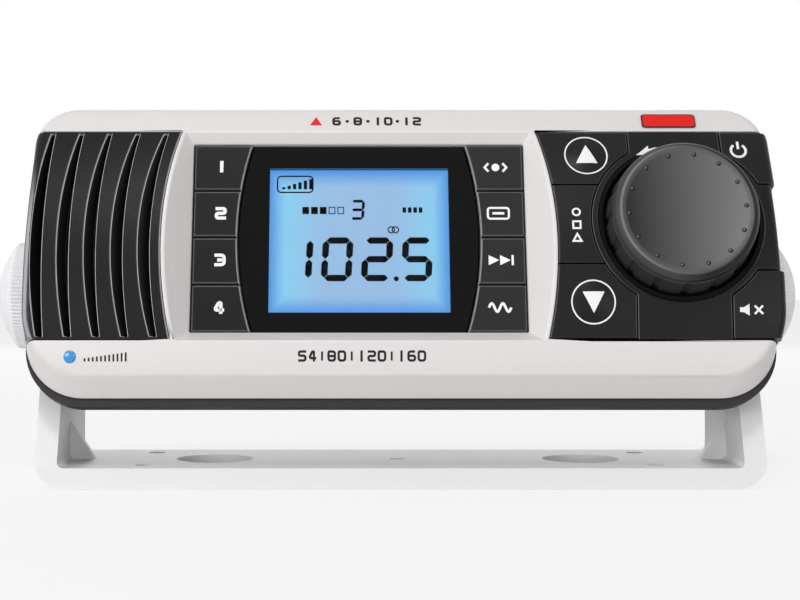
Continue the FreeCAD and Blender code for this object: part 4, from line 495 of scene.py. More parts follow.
def rounded_path(path, radius):
    """A path whose corners are replaced by parabolic arcs that start a radius from the corner."""
    path = [np.asarray(point, float) for point in path]
    made = [path[0]]
    share = np.linspace(0, 1, 5)[:, None]
    for before, corner, after in zip(path[:-2], path[1:-1], path[2:]):
        first, last = before - corner, after - corner
        reach = min(radius, 0.45 * np.linalg.norm(first), 0.45 * np.linalg.norm(last))
        start = corner + first / np.linalg.norm(first) * reach
        end = corner + last / np.linalg.norm(last) * reach
        made.extend((1 - share) ** 2 * start + 2 * share * (1 - share) * corner + share ** 2 * end)
    made.append(path[-1])
    return np.array(made)


def join_flat(parts):
    """Several flat shapes, each points and faces, as one."""
    points, faces, base = [], [], 0
    for part_points, part_faces in parts:
        points.append(np.asarray(part_points, float))
        faces.extend([[corner + base for corner in face] for face in part_faces])
        base += len(part_points)
    return np.concatenate(points), faces


def polygon(points):
    """A filled convex outline."""
    return np.asarray(points, float), [list(range(len(points)))]


def circle_path(x, z, radius, first=0.0, last=360.0, steps=40):
    """Points round a circle, from one angle to another in degrees."""
    angle = np.radians(np.linspace(first, last, steps, endpoint=last - first < 360))
    return np.stack([x + radius * np.cos(angle), z + radius * np.sin(angle)], 1)


def slab(name, shape, surface, film, material, body, sunk=None):
    """A flat shape made into a thin closed film on a surface: its points move to the surface's reach at
    their height, the front lies a film's thickness above it, the back as far below it unless sunk says
    otherwise, and walls join the two."""
    points, faces = shape
    points = np.asarray(points, float)
    count = len(points)
    reach = surface(points[:, 1])
    front = on_head(points[:, 0], points[:, 1], reach + film)
    back = on_head(points[:, 0], points[:, 1], reach - (film if sunk is None else sunk))
    edges = dict.fromkeys(pair for face in faces for pair in zip(face, face[1:] + face[:1]))
    walls = [[end, start, start + count, end + count] for start, end in edges if (end, start) not in edges]
    backs = [[corner + count for corner in reversed(face)] for face in faces]
    return build(name, np.concatenate([front, back]), faces + backs + walls, material, body, smooth=False)


def flat_at(reach):
    """A flat surface across the head."""
    return lambda z: np.full(np.shape(z), float(reach))


def placed(shape, x, z):
    """A flat shape moved to a place."""
    points, faces = shape
    return np.asarray(points, float) + np.array([x, z]), faces


# Strokes of the plain numbers, on a cell one wide and one tall about its middle.
DIGITS = {
    "0": [[(-0.5, 0.5), (0.5, 0.5), (0.5, -0.5), (-0.5, -0.5), (-0.5, 0.5), (0.0, 0.5)]],
    "1": [[(0.0, 0.62), (0.0, -0.62)]],
    "2": [[(-0.62, 0.5), (0.5, 0.5), (0.5, 0.0), (-0.5, 0.0), (-0.5, -0.5), (0.62, -0.5)]],
    "3": [[(-0.62, 0.5), (0.5, 0.5), (0.5, -0.5), (-0.62, -0.5)], [(-0.3, 0.0), (0.5, 0.0)]],
    "4": [[(0.24, -0.62), (0.24, 0.5), (-0.02, 0.5), (-0.5, -0.24), (0.62, -0.24)]],
    "5": [[(0.62, 0.5), (-0.5, 0.5), (-0.5, 0.04), (0.5, 0.04), (0.5, -0.5), (-0.62, -0.5)]],
    "6": [[(0.5, 0.5), (-0.5, 0.5), (-0.5, -0.5), (0.5, -0.5), (0.5, 0.04), (-0.5, 0.04)]],
    "8": [[(-0.5, 0.5), (0.5, 0.5), (0.5, -0.5), (-0.5, -0.5), (-0.5, 0.5), (0.0, 0.5)],
          [(-0.5, 0.0), (0.5, 0.0)]],
}


def number(text, x, z, height, width, stroke, gap):
    """A plain number in strokes, centred on a place."""
    parts = []
    pitch = width + gap
    for place, digit in enumerate(text):
        middle = x + (place - (len(text) - 1) / 2) * pitch
        for path in DIGITS[digit]:
            scaled = [(middle + px * (width - stroke), z + pz * (height - stroke)) for px, pz in path]
            parts.append(ribbon(rounded_path(scaled, 0.28 * width), stroke))
    return join_flat(parts)


# Lit bars of the display's digits: top, middle and bottom, upper left and right, lower left and right.
SEGMENTS = {"0": "tbuvwx", "1": "vx", "2": "tmbvw", "3": "tmbvx", "5": "tmbux"}


def segment_digit(digit, left, low, width, height, stroke, gap=0.07):
    """A seven-segment digit: six-sided bars with mitred ends, a small gap between them, all leaned over."""
    lean = 0.055
    half = stroke / 2
    near = half + gap
    x0, x1 = half, width - half
    z0, z1, z2 = half, height / 2, height - half
    bars = {
        "t": (x0, z2, x1, z2), "m": (x0, z1, x1, z1), "b": (x0, z0, x1, z0),
        "u": (x0, z1, x0, z2), "v": (x1, z1, x1, z2), "w": (x0, z0, x0, z1), "x": (x1, z0, x1, z1),
    }
    parts = []
    for name in SEGMENTS[digit]:
        sx, sz, ex, ez = bars[name]
        if sz == ez:
            outline = [(sx + gap, sz), (sx + near, sz + half), (ex - near, sz + half),
                       (ex - gap, sz), (ex - near, sz - half), (sx + near, sz - half)]
        else:
            outline = [(sx, sz + gap), (sx + half, sz + near), (sx + half, ez - near),
                       (sx, ez - gap), (sx - half, ez - near), (sx - half, sz + near)]
        parts.append(polygon([(left + px + lean * pz, low + pz) for px, pz in outline]))
    return join_flat(parts)


def box(left, low, right, high):
    return polygon([(left, low), (right, low), (right, high), (left, high)])


def rounded_box_path(left, low, right, high, radius):
    """Closed outline of a box with round corners, quarter circle by quarter circle."""
    corners = [(right - radius, high - radius, 0), (left + radius, high - radius, 90),
               (left + radius, low + radius, 180), (right - radius, low + radius, 270)]
    return np.concatenate([circle_path(x, z, radius, first, first + 90, 6) for x, z, first in corners])


def coat_faces(mesh, coat, chosen):
    """Give the chosen faces of a mesh a further finish, and all others its first one."""
    mesh.materials.append(coat)
    mesh.polygons.foreach_set("material_index", np.where(chosen, len(mesh.materials) - 1, 0).astype(int))


class STEREO_OT_white_mouldings(bpy.types.Operator):
    """White front and bracket, with the soft edges that a mould leaves"""
    bl_idname = "stereo.white_mouldings"
    bl_label = "White mouldings"

    def execute(self, context):
        sizes, colours = context.scene.stereo_sizes, context.scene.stereo_colours
        # Injection moulded ASA, polished mould: an even, slightly warm white with a soft shine.
        white = moulded("polished_white_asa", colours.bezel, 0.35, 0.5, 0.0006, mottle=0.98)
        bezel = eased_copy("bezel_moulding", "front_bezel", "head", sizes.bezel_edge, white)
        # Painted shade: its seat behind the speaker panel is coloured matt black where the lamps reach it, so
        # that no lit white shows in the slots.
        mask = moulded("matt_black_seat_painted_shade", colours.lens, 0.7, 0.6, 0.002, specular=0.05)
        self.mask_seat(bezel.data, mask)
        # The same plastic from a fine blasted mould: a little cooler and less shiny.
        satin = moulded("satin_white_asa", colours.bracket, 0.45, 0.35, 0.0015, mottle=0.97)
        eased_copy("bracket_moulding", "gimbal_bracket", "bracket", sizes.bracket_edge, satin,
                   steps=3, clamp=True)
        return {"FINISHED"}

    def mask_seat(self, mesh, coat):
        """Part the front's low face where the speaker panel ends, and coat with painted shade, a matt black,
        the faces that lie behind the panel's curve, but for those that lean to the right, as the display
        recess's left wall does."""
        facing_front, smallest, lean_right = -0.98, 1e-6, 0.3
        parted = bmesh.new()
        parted.from_mesh(mesh)
        upright = [face for face in parted.faces
                   if face.normal.y < facing_front and face.calc_area() > smallest
                   and min(corner.co.x for corner in face.verts) < SEAT_RIGHT * MILLIMETRE]
        parts = dict.fromkeys(part for face in upright for part in (face, *face.edges, *face.verts))
        edge = Vector(PIVOT + UP * SEAT_LOW * MILLIMETRE)
        bmesh.ops.bisect_plane(parted, geom=list(parts), plane_co=edge, plane_no=Vector(UP))
        parted.to_mesh(mesh)
        parted.free()
        centres, normals = face_values(mesh)
        offset = (centres - PIVOT) / MILLIMETRE
        height, reach = offset @ UP, offset @ OUT
        behind = (reach < face_at(height) - SEAT_DROP) & (normals[:, 0] < lean_right)
        seat = (offset[:, 0] < SEAT_RIGHT) & (height > SEAT_LOW) & (height < SEAT_HIGH)
        coat_faces(mesh, coat, behind & seat)


class STEREO_OT_dark_mouldings(bpy.types.Operator):
    """Rear shell, speaker panel, control panel and knob well"""
    bl_idname = "stereo.dark_mouldings"
    bl_label = "Dark mouldings"

    def execute(self, context):
        sizes, colours = context.scene.stereo_sizes, context.scene.stereo_colours
        # Glass filled nylon from a spark eroded mould: charcoal, dull, with a visible grain.
        shell = moulded("textured_charcoal_nylon", colours.housing, 0.5, 0.6, 0.02, specular=0.25)
        eased_copy("rear_shell", "rear_housing", "head", sizes.housing_edge, shell,
                   clamp=True)
        # Black ABS, satin mould: a deep, even black with a faint sheen.
        satin = moulded("satin_black_abs", colours.panel, 0.4, 0.45, 0.004, mottle=0.8, specular=0.16)
        # Its eased edges get a painted highlight: thin light lines beside each slot, where the edges turn to
        # either side.
        bright = polished_edge("slot_edge_abs_painted_highlight", colours.panel, colours.edge)
        panel = eased_copy("speaker_panel", "speaker_grille", "head", sizes.slot_edge, satin,
                           edge=bright)
        # The rounding down its left end gets a painted highlight: a soft light stripe.
        self.shine_round(panel.data,
                         polished_round("painted_highlight_panel_round_abs", colours.panel, colours.round_edge))
        # The control panel's eased edges get a fainter painted highlight.
        dim = polished_edge("panel_edge_abs_painted_highlight", colours.panel, colours.dim_edge)
        eased_copy("control_panel", "control_fascia", "head", sizes.panel_edge, satin,
                   edge=dim)
        # The well's liner is the same plastic, matt, coloured a deeper black than the panels as painted shade
        # of the deep well.
        liner = moulded("matt_black_abs_painted_shade", colours.lens, 0.6, 0.8, 0.002, specular=0.08)
        paint("knob_well", liner)
        return {"FINISHED"}

    def shine_round(self, mesh, polish):
        """Give the painted highlight to the rounding between the panel's face and its left side."""
        centres, normals = face_values(mesh)
        front_lean, side_lean = -0.1, -0.97
        rounded = (normals[:, 0] < front_lean) & (normals[:, 0] > side_lean)
        coat_faces(mesh, polish, rounded & (centres[:, 0] < ROUND_RIGHT * MILLIMETRE))


class STEREO_OT_keys(bpy.types.Operator):
    """Thirteen keys with their printed marks"""
    bl_idname = "stereo.keys"
    bl_label = "Keys"

    def execute(self, context):
        sizes, colours = context.scene.stereo_sizes, context.scene.stereo_colours
        # Silicone coated ABS caps: satin black, softer than the panels.
        cap = moulded("satin_black_key_abs", colours.key, 0.4, 0.4, 0.004, mottle=0.8, specular=0.12)
        # The right-hand caps: the same caps in a lighter colour, painted light where they catch more of the
        # lamps, and a little less glossy.
        right_cap_painted_light = moulded("satin_black_right_key_abs", colours.right_key, 0.45, 0.4, 0.004, mottle=0.85,
                            specular=0.14)
        # The keys of the curved panel shine as the panel does.
        curved_cap = moulded("satin_black_curved_key_abs", colours.panel, 0.38, 0.45, 0.004, mottle=0.8,
                             specular=0.18)
        # Their eased edges get a painted highlight: those of the flat keys are painted light beside the lens,
        # the others all round.
        left_edge, right_edge = [
            polished_edge(f"key_edge_painted_highlight_{name}", colours.dim_edge, colours.edge, side)
            for name, side in (("left", 1), ("right", -1))]
        around = polished_edge("key_edge_painted_highlight_abs", colours.key, colours.dim_edge)
        # Pad printed white ink: opaque and matt.
        ink = moulded("pad_printed_white_ink", colours.ink, 0.5, 0.15, 0.002, mottle=0.97, specular=0.2)
        film = millimetres(sizes.ink_thickness)
        stroke, height = millimetres(sizes.legend_stroke), millimetres(sizes.legend_height)
        flat = flat_at(FLAT_KEY_FRONT)
        number_x, number_width = -42.75, 2.85
        for row, z in enumerate((23.0, 11.2, -0.4, -12.1), 1):
            eased_copy(f"preset_cap_{row}", f"preset_key_{row}", f"preset_press_{row}", sizes.key_edge, cap,
                       edge=left_edge)
            shape = number(str(row), number_x, z, height, number_width, stroke, 0.0)
            slab(f"preset_number_{row}", shape, flat, film, ink, f"preset_press_{row}")
        run = np.linspace(-1, 1, 49)
        marks = {
            "select": join_flat([
                ribbon([(-1.7, 1.05), (-2.6, 0.0), (-1.7, -1.05)], 0.55),
                polygon(circle_path(0, 0, 0.95, steps=28)),
                ribbon([(1.7, 1.05), (2.6, 0.0), (1.7, -1.05)], 0.55)]),
            "display": join_flat([
                ribbon(rounded_box_path(-2.5, -1.35, 2.5, 1.35, 0.6), 0.5, closed=True),
                box(-1.4, -0.3, 1.4, 0.3)]),
            "scan": join_flat([
                polygon([(-2.9, -1.25), (-0.4, 0.0), (-2.9, 1.25)]),
                polygon([(-0.2, -1.25), (2.3, 0.0), (-0.2, 1.25)]),
                box(2.5, -1.25, 3.05, 1.25)]),
            "band": ribbon(np.stack([2.6 * run, np.sin(2 * np.pi * run)], 1), 0.6),
        }
        for name, x, z in (("select", 22.9, 22.8), ("display", 23.3, 11.2), ("scan", 23.6, -0.45),
                           ("band", 23.1, -12.05)):
            eased_copy(f"{name}_cap", f"{name}_key", f"{name}_press", sizes.key_edge, right_cap_painted_light,
                       edge=right_edge)
            slab(f"{name}_mark", placed(marks[name], x, z), flat, film, ink, f"{name}_press")
        for name in ("up", "source", "down", "power", "mute"):
            eased_copy(f"{name}_cap", f"{name}_key", f"{name}_press", sizes.panel_edge, curved_cap,
                       edge=around)
        for name, x, z, turn in (("up", 44.1, 24.4, 1), ("down", 44.15, -12.2, -1)):
            self.round_marks(name, x, z, turn, film, curved_cap, ink)
        self.curved_marks(film, ink)
        return {"FINISHED"}

    def round_marks(self, name, x, z, turn, film, cap, ink):
        """Up or down: a shallow domed disc, a printed ring round it and a triangle on it, turned over for
        down. The dome's height is crown * (1 - (distance / radius)^2)."""
        disc, crown, lift = 4.85, 0.55, 0.01
        ring, ring_stroke = 5.0, 0.34
        wide, tall, below, steps = 5.1, 5.0, 2.3, 12

        def dome(far):
            return crown * (1 - np.minimum(far / disc, 1) ** 2)

        radius = np.linspace(0, disc, 14)[:, None]
        angle = np.radians(np.arange(0, 360, 7.5))[None, :]
        spread_x, spread_z = x + radius * np.cos(angle), z + radius * np.sin(angle)
        points = on_head(spread_x, spread_z, face_at(spread_z) + dome(radius) + lift)
        build(f"{name}_disc", points, grid_faces(len(radius), angle.size, wrap_columns=True), cap,
              f"{name}_press")
        path = ribbon(circle_path(x, z, ring, steps=72), ring_stroke, closed=True)
        slab(f"{name}_ring", path, face_at, film, ink, f"{name}_press")
        side = np.linspace(-0.5, 0.5, steps)[None, :]
        share = np.linspace(0, 1, steps)[:, None]
        flat_x = x + wide * side * (1 - share)
        flat_z = z + turn * (tall * share - below) + 0 * side
        reach = face_at(flat_z) + dome(np.hypot(flat_x - x, flat_z - z))
        front = on_head(flat_x, flat_z, reach + lift + film).reshape(-1, 3)
        back = on_head(flat_x, flat_z, reach - film).reshape(-1, 3)
        faces = grid_faces(steps, steps)
        count = len(front)
        grid = np.arange(count).reshape(steps, steps)
        border = np.concatenate([grid[0, :-1], grid[:-1, -1], grid[-1, :0:-1], grid[:0:-1, 0]])
        before = np.roll(border, 1)
        walls = np.stack([before, border, border + count, before + count], 1)
        build(f"{name}_triangle", np.concatenate([front, back]),
              np.concatenate([faces, faces[:, ::-1] + count, walls]), ink, f"{name}_press", smooth=False)

    def curved_marks(self, film, ink):
        """Source, power and mute: plain signs printed on the convex face."""
        source = join_flat([
            ribbon(circle_path(0, 3.2, 0.85, steps=28), 0.45, closed=True),
            ribbon([(-0.85, 0.85), (0.85, 0.85), (0.85, -0.85), (-0.85, -0.85)], 0.45, closed=True),
            ribbon([(-0.95, -4.0), (0.95, -4.0), (0.0, -2.25)], 0.45, closed=True)])
        power = join_flat([
            ribbon(circle_path(0, 0, 1.75, 125, 415, 40), 0.62),
            box(-0.31, 0.4, 0.31, 2.5)])
        mute = join_flat([
            box(-3.0, -0.55, -2.1, 0.55),
            polygon([(-2.1, -0.55), (-0.8, -1.35), (-0.8, 1.35), (-2.1, 0.55)]),
            ribbon([(0.4, 0.95), (2.3, -0.95)], 0.5), ribbon([(0.4, -0.95), (2.3, 0.95)], 0.5)])
        for name, shape, x, z in (("source", source, 40.9, 6.2), ("power", power, 80.5, 25.7),
                                  ("mute", mute, 80.9, -14.0)):
            slab(f"{name}_mark", placed(shape, x, z), face_at, film, ink, f"{name}_press")


class STEREO_OT_display(bpy.types.Operator):
    """Lens, clear window and the lit display with its figures"""
    bl_idname = "stereo.display"
    bl_label = "Display"

    def execute(self, context):
        sizes, colours = context.scene.stereo_sizes, context.scene.stereo_colours
        # Black print behind polished acrylic: the deepest black on the face, with a mirror shine.
        self.make_border(moulded("black_backed_acrylic", colours.lens, 0.08, 1.5, 0.0003, specular=0.12))
        # The clear part of the lens: a thin plate that closes the border's opening.
        middle, half_thick = LENS_FRONT - 0.45, 0.3
        slab("lens_window", box(GLASS_LEFT, GLASS_LOW, GLASS_RIGHT, GLASS_HIGH), flat_at(middle), half_thick,
             clear_acrylic(), "head")
        paint("lcd_panel", backlit_glass(colours))
        # Switched crystal: flat black with hardly any shine, because it lies behind the lens.
        dark = moulded("switched_display_crystal", linear("#050608"), 0.6, 0.2, 0.001, specular=0.05)
        self.make_figures(dark, millimetres(sizes.digit_height))
        return {"FINISHED"}

    def loop(self, middle, half, low, high):
        """Points up the right side, along the top, down the left side and along the bottom of an opening
        whose half width is given as a function of the height."""
        share = np.linspace(0, 1, 24, endpoint=False)
        rise, fall, run = low + (high - low) * share, high - (high - low) * share, 1 - 2 * share
        x = np.concatenate([half(rise), half(high) * run, -half(fall), -half(low) * run])
        z = np.concatenate([rise, high + 0 * share, fall, low + 0 * share])
        return np.stack([middle + x, z], 1)

    def make_border(self, material):
        """The lens's black border, carried from the window's wall over the front to the outer wall and
        round the back. Its outer sides are arcs bowed outwards: the half width at a height is
        LENS_HALF_WIDE - LENS_BOW + sqrt(LENS_BOW^2 - (height - LENS_Z)^2)."""
        inset, inner_ease, outer_share, outer_drop = 0.1, 0.12, 0.992, 0.2
        outer = self.loop(
            LENS_X, lambda z: LENS_HALF_WIDE - LENS_BOW + np.sqrt(LENS_BOW ** 2 - (z - LENS_Z) ** 2),
            LENS_Z - LENS_HALF_TALL + inset, LENS_Z + LENS_HALF_TALL - inset)
        inner = self.loop((GLASS_LEFT + GLASS_RIGHT) / 2, flat_at((GLASS_RIGHT - GLASS_LEFT) / 2),
                          GLASS_LOW, GLASS_HIGH)
        middle = np.array([LENS_X, LENS_Z])
        eased_outer = middle + (outer - middle) * outer_share
        eased_inner = inner + np.sign(inner - middle) * inner_ease
        loops = [(inner, LENS_BACK), (inner, LENS_FRONT - inner_ease), (eased_inner, LENS_FRONT),
                 (eased_outer, LENS_FRONT), (outer, LENS_FRONT - outer_drop), (outer, LENS_BACK)]
        points = np.concatenate([on_head(loop[:, 0], loop[:, 1], reach) for loop, reach in loops])
        faces = grid_faces(len(loops), len(outer), wrap_rows=True, wrap_columns=True)
        piece = build("lens_border", points, faces, material, "head", smooth=False)
        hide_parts("display_lens")

    def make_figures(self, material, height):
        """The figures: a large plain number, a small one, and plain level, signal and ring signs."""
        low, width, stroke, pitch, first = -4.95, 7.3, 1.58, 9.5, -28.5
        parts = [segment_digit(digit, first + place * pitch, low, width, height, stroke)
                 for place, digit in enumerate("1025")]
        # The large number's point, and the small number above it.
        parts.append(polygon(circle_path(-1.05, low + 0.6, 0.6, steps=20)))
        parts.append(segment_digit("3", -12.0, 10.35, 3.35, 5.05, 0.68, gap=0.04))
        # A frame with a rising level in it, then full squares, open squares, bars and rings.
        parts.append(ribbon(rounded_box_path(-29.4, 17.3, -20.9, 21.4, 0.9), 0.34, closed=True))
        parts += [box(x, 18.1, x + 0.8, 18.6 + 0.42 * step)
                  for step, x in enumerate(-28.3 + 1.3 * np.arange(6))]
        parts += [box(x, 11.8, x + 1.6, 13.6) for x in -23.4 + 2.1 * np.arange(3)]
        parts += [ribbon([(x, 11.9), (x + 1.4, 11.9), (x + 1.4, 13.5), (x, 13.5)], 0.22, closed=True)
                  for x in -17.0 + 2.1 * np.arange(2)]
        parts += [box(x, 12.15, x + 0.85, 13.5) for x in 0.6 + 1.3 * np.arange(4)]
        parts += [ribbon(circle_path(x, 7.85, 0.75, steps=24), 0.28, closed=True) for x in (-2.15, -1.15)]
        slab("display_figures", join_flat(parts), flat_at(GLASS_FRONT), 0.05, material, "head", sunk=0.01)


class STEREO_OT_volume_knob(bpy.types.Operator):
    """Volume knob with its dished top, pips and notched rubber grip"""
    bl_idname = "stereo.volume_knob"
    bl_label = "Volume knob"

    def execute(self, context):
        sizes, colours = context.scene.stereo_sizes, context.scene.stereo_colours
        # Turned and satin lacquered top on a moulded knob, with a painted sheen: a broad light that fades
        # across the dish.
        satin = lacquered("satin_lacquered_knob_abs", colours.knob, colours.knob_sheen)
        self.make_knob(satin, sizes.knob_pips)
        # Moulded rubber: lighter and duller than the knob.
        rubber = moulded("moulded_black_rubber", colours.rubber, 0.45, 0.5, 0.008, specular=0.3)
        self.make_grip(rubber, sizes.knob_notches, millimetres(sizes.knob_notch_depth))
        return {"FINISHED"}

    def around(self, along, radius, angle):
        """Points round the knob's axis: millimetres along it and out from it, and an angle from the top."""
        return on_head(KNOB_X + radius * np.sin(angle), KNOB_Z + radius * np.cos(angle),
                       KNOB_BASE + along + 0 * angle)

    def make_knob(self, material, pips):
        """A profile turned round the knob's axis, whose dish is a paraboloid: its height is
        floor + rise * (radius / edge)^2. The pips are domes on a circle near the edge."""
        edge, floor, rise = 14.2, 10.2, 1.2
        dish = [(floor + rise * (radius / edge) ** 2, radius) for radius in np.linspace(0, edge, 24)]
        # Height and radius: the rim rounds over to the grip's groove; behind, the wall and the shaft's hub.
        rim = [(11.46, 15.1), (11.38, 15.5), (11.17, 15.88), (10.83, 16.22), (10.4, 16.5), (9.95, 16.72),
               (8.9, 16.8), (8.75, 16.6), (8.7, 15.8)]
        behind = [(0.0, 15.8), (0.0, 14.2), (6.1, 14.2), (6.1, 5.05), (0.0, 5.05), (0.0, 3.05), (8.8, 3.05),
                  (8.8, 0.0)]
        profile = eased(dish + rim + behind, 0.18)
        angle = np.radians(np.arange(0, 360, 2.0))
        shapes = [(self.around(profile[:, :1], profile[:, 1:], angle).reshape(-1, 3),
                   grid_faces(len(profile), angle.size, wrap_columns=True))]
        ring, pip, seat, first = 13.5, 0.6, 11.1, 0.35
        lift = np.linspace(0, np.pi / 2, 6)[:, None]
        turn = np.radians(np.arange(0, 360, 30.0))[None, :]
        for place in range(pips):
            angle = 2 * np.pi * (place + first) / pips
            x = KNOB_X + ring * np.sin(angle) + pip * np.cos(lift) * np.cos(turn)
            z = KNOB_Z + ring * np.cos(angle) + pip * np.cos(lift) * np.sin(turn)
            dome = on_head(x, z, KNOB_BASE + seat + pip * np.sin(lift) + 0 * turn)
            shapes.append((dome.reshape(-1, 3), grid_faces(lift.size, turn.size, wrap_columns=True)))
        piece = build("volume_knob_top", *join_flat(shapes), material, "volume")
        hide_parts("volume_knob")

    def make_grip(self, material, notches, depth):
        """A ring turned round the axis whose outer radius drops in narrow notches: a smooth step of the
        distance to the nearest notch, times a straight step of the height, takes the depth off."""
        profile = np.array([(0.05, 15.85), (0.05, 17.2), (0.2, 17.4), (1.2, 17.36), (2.2, 17.31), (4.0, 17.2),
                            (6.0, 17.05), (7.2, 16.98), (7.7, 16.95), (8.2, 16.88), (8.5, 16.7), (8.6, 16.4),
                            (8.6, 15.85)])
        outer, inner_wall, half_wide, blend_wide, notch_top, blend_tall = 17.0, 16.2, 1.15, 0.45, 8.1, 0.5
        angle = np.radians(np.arange(0, 360, 0.75))
        pitch = 2 * np.pi / notches
        offset = np.abs((angle + pitch / 2) % pitch - pitch / 2) * outer
        narrow = np.clip((half_wide - offset) / blend_wide, 0, 1)
        narrow = narrow * narrow * (3 - 2 * narrow)
        along, far = profile[:, :1], profile[:, 1:]
        tall = np.clip((notch_top - along) / blend_tall, 0, 1) * (far > inner_wall)
        points = self.around(along, far - depth * tall * narrow, angle)
        faces = grid_faces(len(profile), angle.size, wrap_rows=True, wrap_columns=True)
        piece = build("volume_grip", points, faces, material, "volume")
        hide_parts("knob_grip")


class STEREO_OT_clamp_knobs(bpy.types.Operator):
    """Ribbed, domed clamp knobs at both ends of the tilt axis"""
    bl_idname = "stereo.clamp_knobs"
    bl_label = "Clamp knobs"

    def execute(self, context):
        sizes, colours = context.scene.stereo_sizes, context.scene.stereo_colours
        # Moulded nylon, slightly translucent: a cool, bright white with a soft shine.
        nylon = moulded("moulded_white_nylon", colours.clamp, 0.4, 0.5, 0.006, mottle=0.98)
        for name, sign in (("left", -1), ("right", 1)):
            self.make_knob(name, sign, nylon, sizes.rib_count, millimetres(sizes.rib_depth))
        # Stainless washer and stud, turned: fine rings catch the light.
        steel = metal("turned_stainless_steel", linear("#B9BBBE"), 0.3, 0.3, 0.002)
        for name in ("left_clamp_stud", "left_clamp_washer", "right_clamp_stud", "right_clamp_washer"):
            paint(name, steel)
        return {"FINISHED"}

    def make_knob(self, name, sign, material, ribs, depth):
        """A profile turned about the tilt axis: grooves between the ribs are a cosine round it, faded out at
        the foot and on the dome; the dome is a circle's cap with a dimple exp(-(radius / 1.3)^2) deep."""
        foot, rim, top, cap, dimple, dimple_wide = 87.6, 13.4, 13.3, 5.2, 0.55, 1.3
        ball = (rim ** 2 + cap ** 2) / (2 * cap)
        radius = rim * np.sin(np.linspace(0, np.pi / 2, 22))
        dome = top - ball + np.sqrt(ball ** 2 - radius ** 2) - dimple * np.exp(-(radius / dimple_wide) ** 2)
        side = [(along, rim) for along in np.linspace(7.6, 0.9, 8)]
        # Height and radius of the foot, the hollow inside it and the stud's bore.
        rest = [(0.3, 13.2), (0.0, 12.7), (0.0, 9.0), (5.0, 9.0), (5.0, 6.0), (0.0, 6.0), (0.0, 3.05),
                (8.1, 3.05), (8.1, 0.0)]
        profile = np.concatenate([np.stack([dome, radius], 1), side, eased(rest, 0.2)])
        angle = np.linspace(0, 2 * np.pi, ribs * 6, endpoint=False)
        along, far = profile[:, :1], profile[:, 1:]
        ribbed = np.clip((far - 12.2) / 0.8, 0, 1) * np.clip((along - 0.2) / 0.5, 0, 1)
        radius = far - depth * ribbed * (0.5 - 0.5 * np.cos(ribs * angle))
        points = np.stack([sign * (foot + along) * MILLIMETRE + 0 * angle,
                           PIVOT[1] + radius * np.sin(angle) * MILLIMETRE,
                           PIVOT[2] + radius * np.cos(angle) * MILLIMETRE], -1)
        faces = grid_faces(len(profile), angle.size, wrap_columns=True)
        piece = build(f"{name}_ribbed_knob", points, faces, material, f"{name}_clamp")
        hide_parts(f"{name}_clamp_knob")


class STEREO_OT_face_marks(bpy.types.Operator):
    """Plain dial numbers, arrow, lamp cover and bare badge on the face"""
    bl_idname = "stereo.face_marks"
    bl_label = "Face marks"

    def execute(self, context):
        sizes, colours = context.scene.stereo_sizes, context.scene.stereo_colours
        film = millimetres(sizes.ink_thickness)
        # Pad printed inks: matt, with crisp borders.
        dark = moulded("pad_printed_dark_ink", colours.mark, 0.5, 0.15, 0.002, specular=0.2)
        white = moulded("pad_printed_white_panel_ink", colours.ink, 0.5, 0.15, 0.002, mottle=0.97,
                        specular=0.2)
        red = moulded("pad_printed_red_ink", colours.red, 0.45, 0.15, 0.002, mottle=0.95, specular=0.3)
        upper_z, lower_z = 34.2, -24.4
        upper = [number(text, x, upper_z, 2.5, 2.1, 0.6, 0.4)
                 for text, x in (("6", -15.2), ("8", -10.1), ("10", -4.0), ("12", 2.9))]
        upper += [polygon(circle_path(x, upper_z, 0.42, steps=18)) for x in (-12.65, -7.65, -0.55)]
        lower = [number(text, x, lower_z, 2.5, 2.0, 0.52, 0.35)
                 for text, x in (("54", -21.9), ("80", -15.1), ("120", -7.05), ("160", 2.15))]
        lower += [box(x - 0.22, lower_z - 1, x + 0.22, lower_z + 1) for x in (-18.5, -11.65, -2.45)]
        scale = [box(x, -25.6, x + 0.4, -24.9 + 0.13 * step)
                 for step, x in enumerate(-73.4 + 0.95 * np.arange(11))]
        # An arrow that follows the knob: its head's three corners and a tail that narrows to the right.
        arrow = [polygon([(55.97, 24.36), (59.25, 24.75), (59.0, 25.5), (59.15, 26.1), (59.09, 27.09)]),
                 polygon([(59.0, 25.5), (60.2, 25.95), (61.85, 26.35), (61.95, 26.7), (60.4, 26.5),
                          (59.15, 26.1)])]
        for name, parts, ink in (
                ("upper_dial_numbers", upper, dark),
                ("upper_dial_pointer", [polygon([(-21.6, 33.0), (-18.7, 33.0), (-20.15, 35.5)])], red),
                ("lower_dial_numbers", lower, dark), ("level_scale", scale, dark),
                ("volume_arrow", arrow, white)):
            slab(name, join_flat(parts), face_at, film, ink, "head")
        # Enamelled badge plate, left bare: even red with a clear, glossy surface.
        enamel = moulded("bare_red_enamel", colours.red, 0.3, 0.8, 0.0006, mottle=0.95, specular=0.2)
        eased_copy("bare_badge", "badge_plate", "head", sizes.badge_edge, enamel, edge=dark)
        # Blue tinted acrylic dome: saturated and glossy.
        self.make_lamp(moulded("tinted_blue_acrylic", colours.blue, 0.15, 0.8, 0.001, coat=0.5))
        return {"FINISHED"}

    def make_lamp(self, cover):
        """A small round pilot lamp cover: a shallow dome on the face, the upper half of an ellipsoid."""
        middle_x, middle_z, edge, tall, fall = -76.6, -24.6, 1.45, 0.45, 1.46
        radius = np.linspace(0, edge, 10)[:, None]
        angle = np.radians(np.arange(0, 360, 10.0))[None, :]
        x, z = middle_x + radius * np.cos(angle), middle_z + radius * np.sin(angle)
        dome = on_head(x, z, face_at(z) + tall * np.sqrt(1 - (radius / fall) ** 2) + 0 * angle)
        build("pilot_lamp_cover", dome, grid_faces(len(radius), angle.size, wrap_columns=True), cover, "head")


